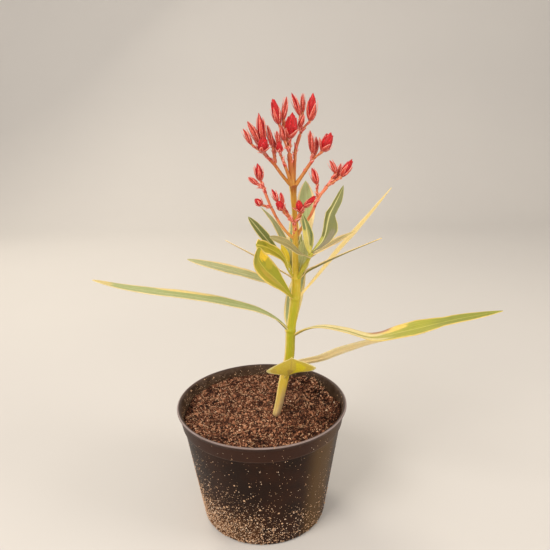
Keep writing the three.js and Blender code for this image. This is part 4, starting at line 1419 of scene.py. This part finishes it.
def soil_height(x, y):
    """The top of the soil: lumpy, hollow here and there by the wall, and level round the stem."""
    lumps = math.sin(x * 0.31 + 1.3) * math.cos(y * 0.27) + 0.6 * math.sin(x * 0.13 - y * 0.41)
    rough = noise.fractal(Vector((x * 0.09, y * 0.09, 1.7)), 1.0, 2.1, 5)
    fine = noise.fractal(Vector((x * 0.7, y * 0.7, 9.1)), 0.7, 2.2, 4)
    shape = sum(
        high * math.exp(-((x - a) ** 2 + (y - b) ** 2) / reach**2)
        for a, b, reach, high in SOIL_SHAPES
    )
    away = math.hypot(x - STEM[0][0], y - STEM[0][1])
    ease = min(1.0, max(0.0, (away - 4) / (SOIL["foot"] - 4)))
    return SOIL["level"] + 0.35 + ease * (shape + 0.5 * lumps + 1.2 * rough) + 0.55 * fine


def peat(name, code, other):
    """Crumbly dark soil in two near tones."""
    shader = Shader(name, Specular_IOR_Level=0.2)
    place = shader.place()
    coarse = shader.noise(place, 700, 5, 0.7)
    shader.colour(shader.tint(code, other, coarse, 0.35, 0.65))
    shader.roughness(shader.scaled(coarse, 0.2, 0.75))
    shader.bump(shader.noise(place, 1800, 4, 0.7), 0.0005, 0.8)
    return shader.material


def lump_template(rng, subdivisions):
    """An uneven lump with a radius of about one, as points and triangles."""
    shape = bmesh.new()
    bmesh.ops.create_icosphere(shape, subdivisions=subdivisions, radius=1)
    points = np.array([v.co[:] for v in shape.verts])
    faces = np.array([[v.index for v in f.verts] for f in shape.faces])
    shape.free()
    shift = rng.uniform(0, 50, 3)
    broad = np.array([noise.noise(Vector(p * 1.4 + shift)) for p in points])
    fine = np.array([noise.noise(Vector(p * 3.1 - shift)) for p in points])
    bumps = broad + 0.5 * fine
    return points * (1 + 0.42 * bumps)[:, None] * rng.uniform(0.65, 1.15, 3), faces


def turned(rng, count):
    """Random rotations, as matrices."""
    w, x, y, z = unit(rng.normal(size=(count, 4))).T
    rows = [
        (1 - 2 * (y * y + z * z), 2 * (x * y - z * w), 2 * (x * z + y * w)),
        (2 * (x * y + z * w), 1 - 2 * (x * x + z * z), 2 * (y * z - x * w)),
        (2 * (x * z - y * w), 2 * (y * z + x * w), 1 - 2 * (x * x + y * y)),
    ]
    return np.stack([np.stack(row, -1) for row in rows], 1)


def scatter(form, rng, places, sizes, tones, subdivisions, kinds=8):
    """Lumps at places, each of its own size, turn and tone."""
    templates = [lump_template(rng, subdivisions) for _ in range(kinds)]
    spin = turned(rng, len(places))
    picked = rng.integers(0, kinds, len(places))
    for place, size, tone, matrix, kind in zip(places, sizes, tones, spin, picked):
        points, faces = templates[kind]
        first = form.add_points(points @ matrix.T * size + place)
        form.add_faces(faces + first, tone)


def on_soil(x, y, sink):
    z = np.array([soil_height(a, b) for a, b in zip(x, y)])
    return np.stack([x, y, z + sink], 1)


def disc_places(rng, count, reach, sink):
    """Points on the soil, evenly over its disc."""
    angle = rng.uniform(0, 2 * math.pi, count)
    out = reach * np.sqrt(rng.random(count))
    return on_soil(out * np.cos(angle), out * np.sin(angle), sink)


def layer_places(rng, edge, layer):
    return disc_places(rng, layer["count"], edge - layer["inset"], layer["sink"])


def layer_sizes(rng, layer):
    return rng.uniform(*layer["sizes"], layer["count"])


def layer_tones(rng, layer):
    return rng.choice(layer["tones"], layer["count"])


def darkened(tones, places):
    """The tones, one darker in patches and mostly to the right."""
    where = [(Vector((x * 0.045, y * 0.045, 4.2)), x * 0.006) for x, y, _ in places]
    return np.maximum(tones - [noise.noise(w) + slope > 0.08 for w, slope in where], 0)


def make_bed(tones):
    """The body of the soil, from just above the pot's floor to its uneven top."""
    angle = turns(BED_COLUMNS)
    ring = circle(angle)
    edge = inner_radius(SOIL["level"] - 5) - SOIL["seam"]
    heights = (POT["floor"] + 0.3, COLLAR_FOOT - 3)
    skirt = [np.column_stack([ring * (inner_radius(z) - 0.3), np.full(len(angle), z)])
             for z in heights]
    top = [on_soil(*(ring * radius).T, 0) for radius in np.linspace(edge, 0.6, BED_RINGS)]
    rings = np.array(skirt + top)
    rng = np.random.default_rng(SEEDS["bed"])
    form = Form()
    form.tube(rings, rng.choice(BED_TONES, (len(rings) - 1, len(angle))))
    form.make("soil_bed", tones, "soil", "soil")
    return edge


def fibre(form, rng, place):
    """A short bent fibre that lies on the soil."""
    length, lean = rng.uniform(1.6, 5), rng.uniform(-0.2, 0.35)
    share = np.linspace(-0.5, 0.5, 6)
    turn = rng.uniform(0, 2 * math.pi) + rng.uniform(-0.6, 0.6) * share
    way = np.stack([np.cos(turn), np.sin(turn), np.full(6, lean)], -1)
    line = way * (share * length)[:, None] + place
    ring = np.array([(1, 0), (0, 1), (-1, 0), (0, -1)]) * rng.uniform(0.1, 0.2)
    _, normals, sides = frames(line, np.array((0.05, 0.1, 1.0)))
    rows = normals[:, None] * ring[:, :1] + sides[:, None] * ring[:, 1:] * 1.8
    form.tube(line[:, None] + rows, int(rng.choice(FIBRES["tones"])))


def make_clods(rng, edge, tones):
    """Small clods all over, and big ones with a crust of crumbs at the back right."""
    form = Form()
    places = layer_places(rng, edge, SMALL_CLODS)
    sizes = layer_sizes(rng, SMALL_CLODS)
    scatter(form, rng, places, sizes, rng.integers(0, 4, len(places)), 2)
    x, y, sizes = np.array(CLODS).T
    places = on_soil(x, y, sizes * 0.35)
    # The big clods' bodies take the two darkest tones: partly their own dark peat, partly painted
    # shade that shows in the gaps of their crust.
    scatter(form, rng, places, sizes, rng.integers(0, 2, len(CLODS)), 4, kinds=4)
    count = CRUST["count"]
    for place, size in zip(places, sizes):
        up = unit(rng.normal(size=(count, 3)) + (0, -0.3, 0.8))
        crust = place + up * size * rng.uniform(0.8, 1.02, (count, 1))
        scatter(form, rng, crust, layer_sizes(rng, CRUST), layer_tones(rng, CRUST), 1)
    form.make("soil_clods", tones, "soil", "soil", smooth=False)


def make_soil(tones, grains):
    """The bed, its crumbs and fines, clods, fibres and pale grit."""
    rng = np.random.default_rng(SEEDS["soil"])
    edge = make_bed(tones)
    for name, layer in SOIL_LAYERS.items():
        form = Form()
        places = layer_places(rng, edge, layer)
        mixed = darkened(layer_tones(rng, layer), places)
        scatter(form, rng, places, layer_sizes(rng, layer), mixed, 1)
        form.make(name, tones, "soil", "soil", smooth=False)
    make_clods(rng, edge, tones)

    fibres = Form()
    for place in layer_places(rng, edge, FIBRES):
        fibre(fibres, rng, place)
    fibres.make("soil_fibres", grains, "soil", "soil")

    grit = Form()
    places = layer_places(rng, edge, GRIT)
    scatter(grit, rng, places, layer_sizes(rng, GRIT), layer_tones(rng, GRIT), 1)
    across, down, sizes = np.array(BRIGHT_GRAINS).T
    x, y = seen_at(across, down, GRAIN_LEVEL)
    scatter(grit, rng, on_soil(x, y, 0.9), sizes * 0.8, np.zeros(len(x), int), 2)
    grit.make("soil_grit", grains, "soil", "soil")


def dust_places(rng, count):
    """Places on the outside of the wall, most of them low down at the front and left."""
    places = []
    while len(places) < count:
        across = rng.uniform(-math.pi, math.pi)
        z = rng.uniform(1.2, COLLAR_FOOT - 1)
        left = 1 / (1 + math.exp((across - 0.05) * 3)) * (1 if across > -2.6 else 0.3)
        low = math.exp(-((z / (26 + 12 * left)) ** 2))
        if rng.random() < low * (0.05 + 0.95 * left) + 0.03:
            radius = wall_at(z) + 0.05
            places.append((radius * math.sin(across), -radius * math.cos(across), z))
    return np.array(places)


def inner_places(rng, count):
    """Places on the inside of the wall above the soil."""
    angle = rng.uniform(math.radians(35), math.radians(235), count)
    z = POT["height"] - 2.5 - 8 * rng.random(count) ** 0.7
    radius = np.array([inner_radius(h) - 0.1 for h in z])
    return np.stack([radius * np.cos(angle), radius * np.sin(angle), z], 1)


def collar_places(rng, count):
    """Places on the outside of the collar."""
    angle = rng.uniform(-2.4, 0.9, count)
    z = rng.uniform(COLLAR_FOOT + 2, POT["height"] - 3.5, len(angle))
    radius = WALL_TOP + POT["step"] + 0.1 + (z - COLLAR_FOOT) * 0.09
    return np.stack([radius * np.sin(angle), -radius * np.cos(angle), z], 1)


def make_dust(grains):
    """Grains of dry soil that cling to the pot, smaller high up on its wall."""
    rng = np.random.default_rng(SEEDS["dust"])
    form = Form()
    places = dust_places(rng, WALL_DUST["count"])
    sizes = (0.2 + 0.42 * rng.random(len(places)) ** 2) * np.where(places[:, 2] > 32, 0.75, 1)
    scatter(form, rng, places, sizes, layer_tones(rng, WALL_DUST), 1)
    for layer, find in ((INNER_DUST, inner_places), (COLLAR_DUST, collar_places)):
        places = find(rng, layer["count"])
        scatter(form, rng, places, layer_sizes(rng, layer), layer_tones(rng, layer), 1)
    form.make("pot_dust", grains, "pot", "pot")


# Setting

FLOOR = {"size": 4000, "back": 1500, "bend": 400, "top": 3000, "tints": ("d0d1d3", "cacbce")}
WORLD_TINT = "fff1df"
WORLD_STRENGTH = 0.62

# Lights look at this place, in metres. Each has its place, its size, its power and its tint.
LIT_PLACE = (0.02, 0, 0.17)
LIGHTS = {
    "key": ((-0.7, -0.85, 1.3), (0.7, 0.7), 17, "fff3e4"),
    "side": ((1.1, -0.4, 0.7), (0.5, 0.8), 6, "fff2e2"),
    "rim": ((-0.6, 1.0, 1.0), (0.6, 0.6), 8, "fff0d8"),
    "low": ((0.3, -1.2, 0.3), (0.8, 0.3), 2.2, "fff5ea"),
}


def floor_material():
    shader = Shader("floor_paper", Specular_IOR_Level=0.2)
    cloud = shader.noise(shader.place(), 3, 3, 0.5)
    shader.colour(shader.mix(cloud, *FLOOR["tints"]))
    shader.roughness(shader.scaled(cloud, 0.1, 0.85))
    return shader.material


def make_floor():
    """A pale sweep: flat under the pot, and bent up behind it."""
    size, back, bend = FLOOR["size"], FLOOR["back"], FLOOR["bend"]
    profile = [(-size, 0), (back - bend, 0)]
    turn = np.radians(range(10, 91, 10))
    profile += [(back - bend + bend * math.sin(a), bend - bend * math.cos(a)) for a in turn]
    profile += [(back, FLOOR["top"])]
    form = Form()
    form.add_points([[(-size, y, z), (size, y, z)] for y, z in profile])
    form.add_faces([[2 * i, 2 * i + 1, 2 * i + 3, 2 * i + 2] for i in range(len(profile) - 1)], 0)
    made = bpy.data.objects.new("floor", form.mesh("floor", [floor_material()]))
    bpy.context.scene.collection.objects.link(made)


def make_camera():
    """The fitted camera, pitched down and rolled a little."""
    right, up, forward = camera_axes()
    data = bpy.data.cameras.new("camera")
    data.sensor_width = CAMERA["film_width"]
    data.lens = CAMERA["film_width"] * CAMERA["focal_pixels"] / CAMERA["image_pixels"]
    camera = bpy.data.objects.new("camera", data)
    turn = Matrix((right, up, -forward)).transposed().to_4x4()
    camera.matrix_world = Matrix.Translation(Vector(CAMERA["place"]) * MM) @ turn
    bpy.context.scene.collection.objects.link(camera)
    bpy.context.scene.camera = camera


def area_light(name, place, size, power, code):
    """A soft rectangular light that looks at the middle of the plant."""
    data = bpy.data.lights.new(name, "AREA")
    data.shape = "RECTANGLE"
    data.size, data.size_y = size
    data.energy = power
    data.color = linear(code)[:3]
    light = bpy.data.objects.new(name, data)
    light.location = place
    toward = Vector(LIT_PLACE) - light.location
    light.rotation_euler = toward.to_track_quat("-Z", "Y").to_euler()
    bpy.context.scene.collection.objects.link(light)


def make_lights():
    for name, light in LIGHTS.items():
        area_light(name, *light)
    world = bpy.data.worlds.new("studio")
    world.use_nodes = True
    background = world.node_tree.nodes["Background"]
    background.inputs["Color"].default_value = linear(WORLD_TINT)
    background.inputs["Strength"].default_value = WORLD_STRENGTH
    bpy.context.scene.world = world
    bpy.context.scene.view_settings.view_transform = "Standard"


def soil_tones(kind, tones, least):
    """A material for each tone, crumbled with the tone before it, from least on."""
    before = [tones[max(i - 1, least)] for i in range(len(tones))]
    return [peat(f"{kind}_{i + 1}", code, before[i]) for i, code in enumerate(tones)]


def main():
    make_camera()
    make_lights()
    make_floor()
    make_pot()
    peats = soil_tones("peat", PEAT_TONES, 0)
    grains = soil_tones("grain", GRAIN_TONES, 1)
    make_soil(peats, grains)
    make_dust(grains)
    make_stem()
    make_limbs()
    for number, (name, spec) in enumerate(LEAVES.items()):
        make_leaf(number, name, spec)
    sepals = tone_list("sepal", SEPAL_TONES, 0.3)
    petals = tone_list("petal", PETAL_TONES, 0.1)
    twigs = tone_list("twig", TWIG_TONES, 0.1)
    make_heads(sepals, petals, twigs)


main()
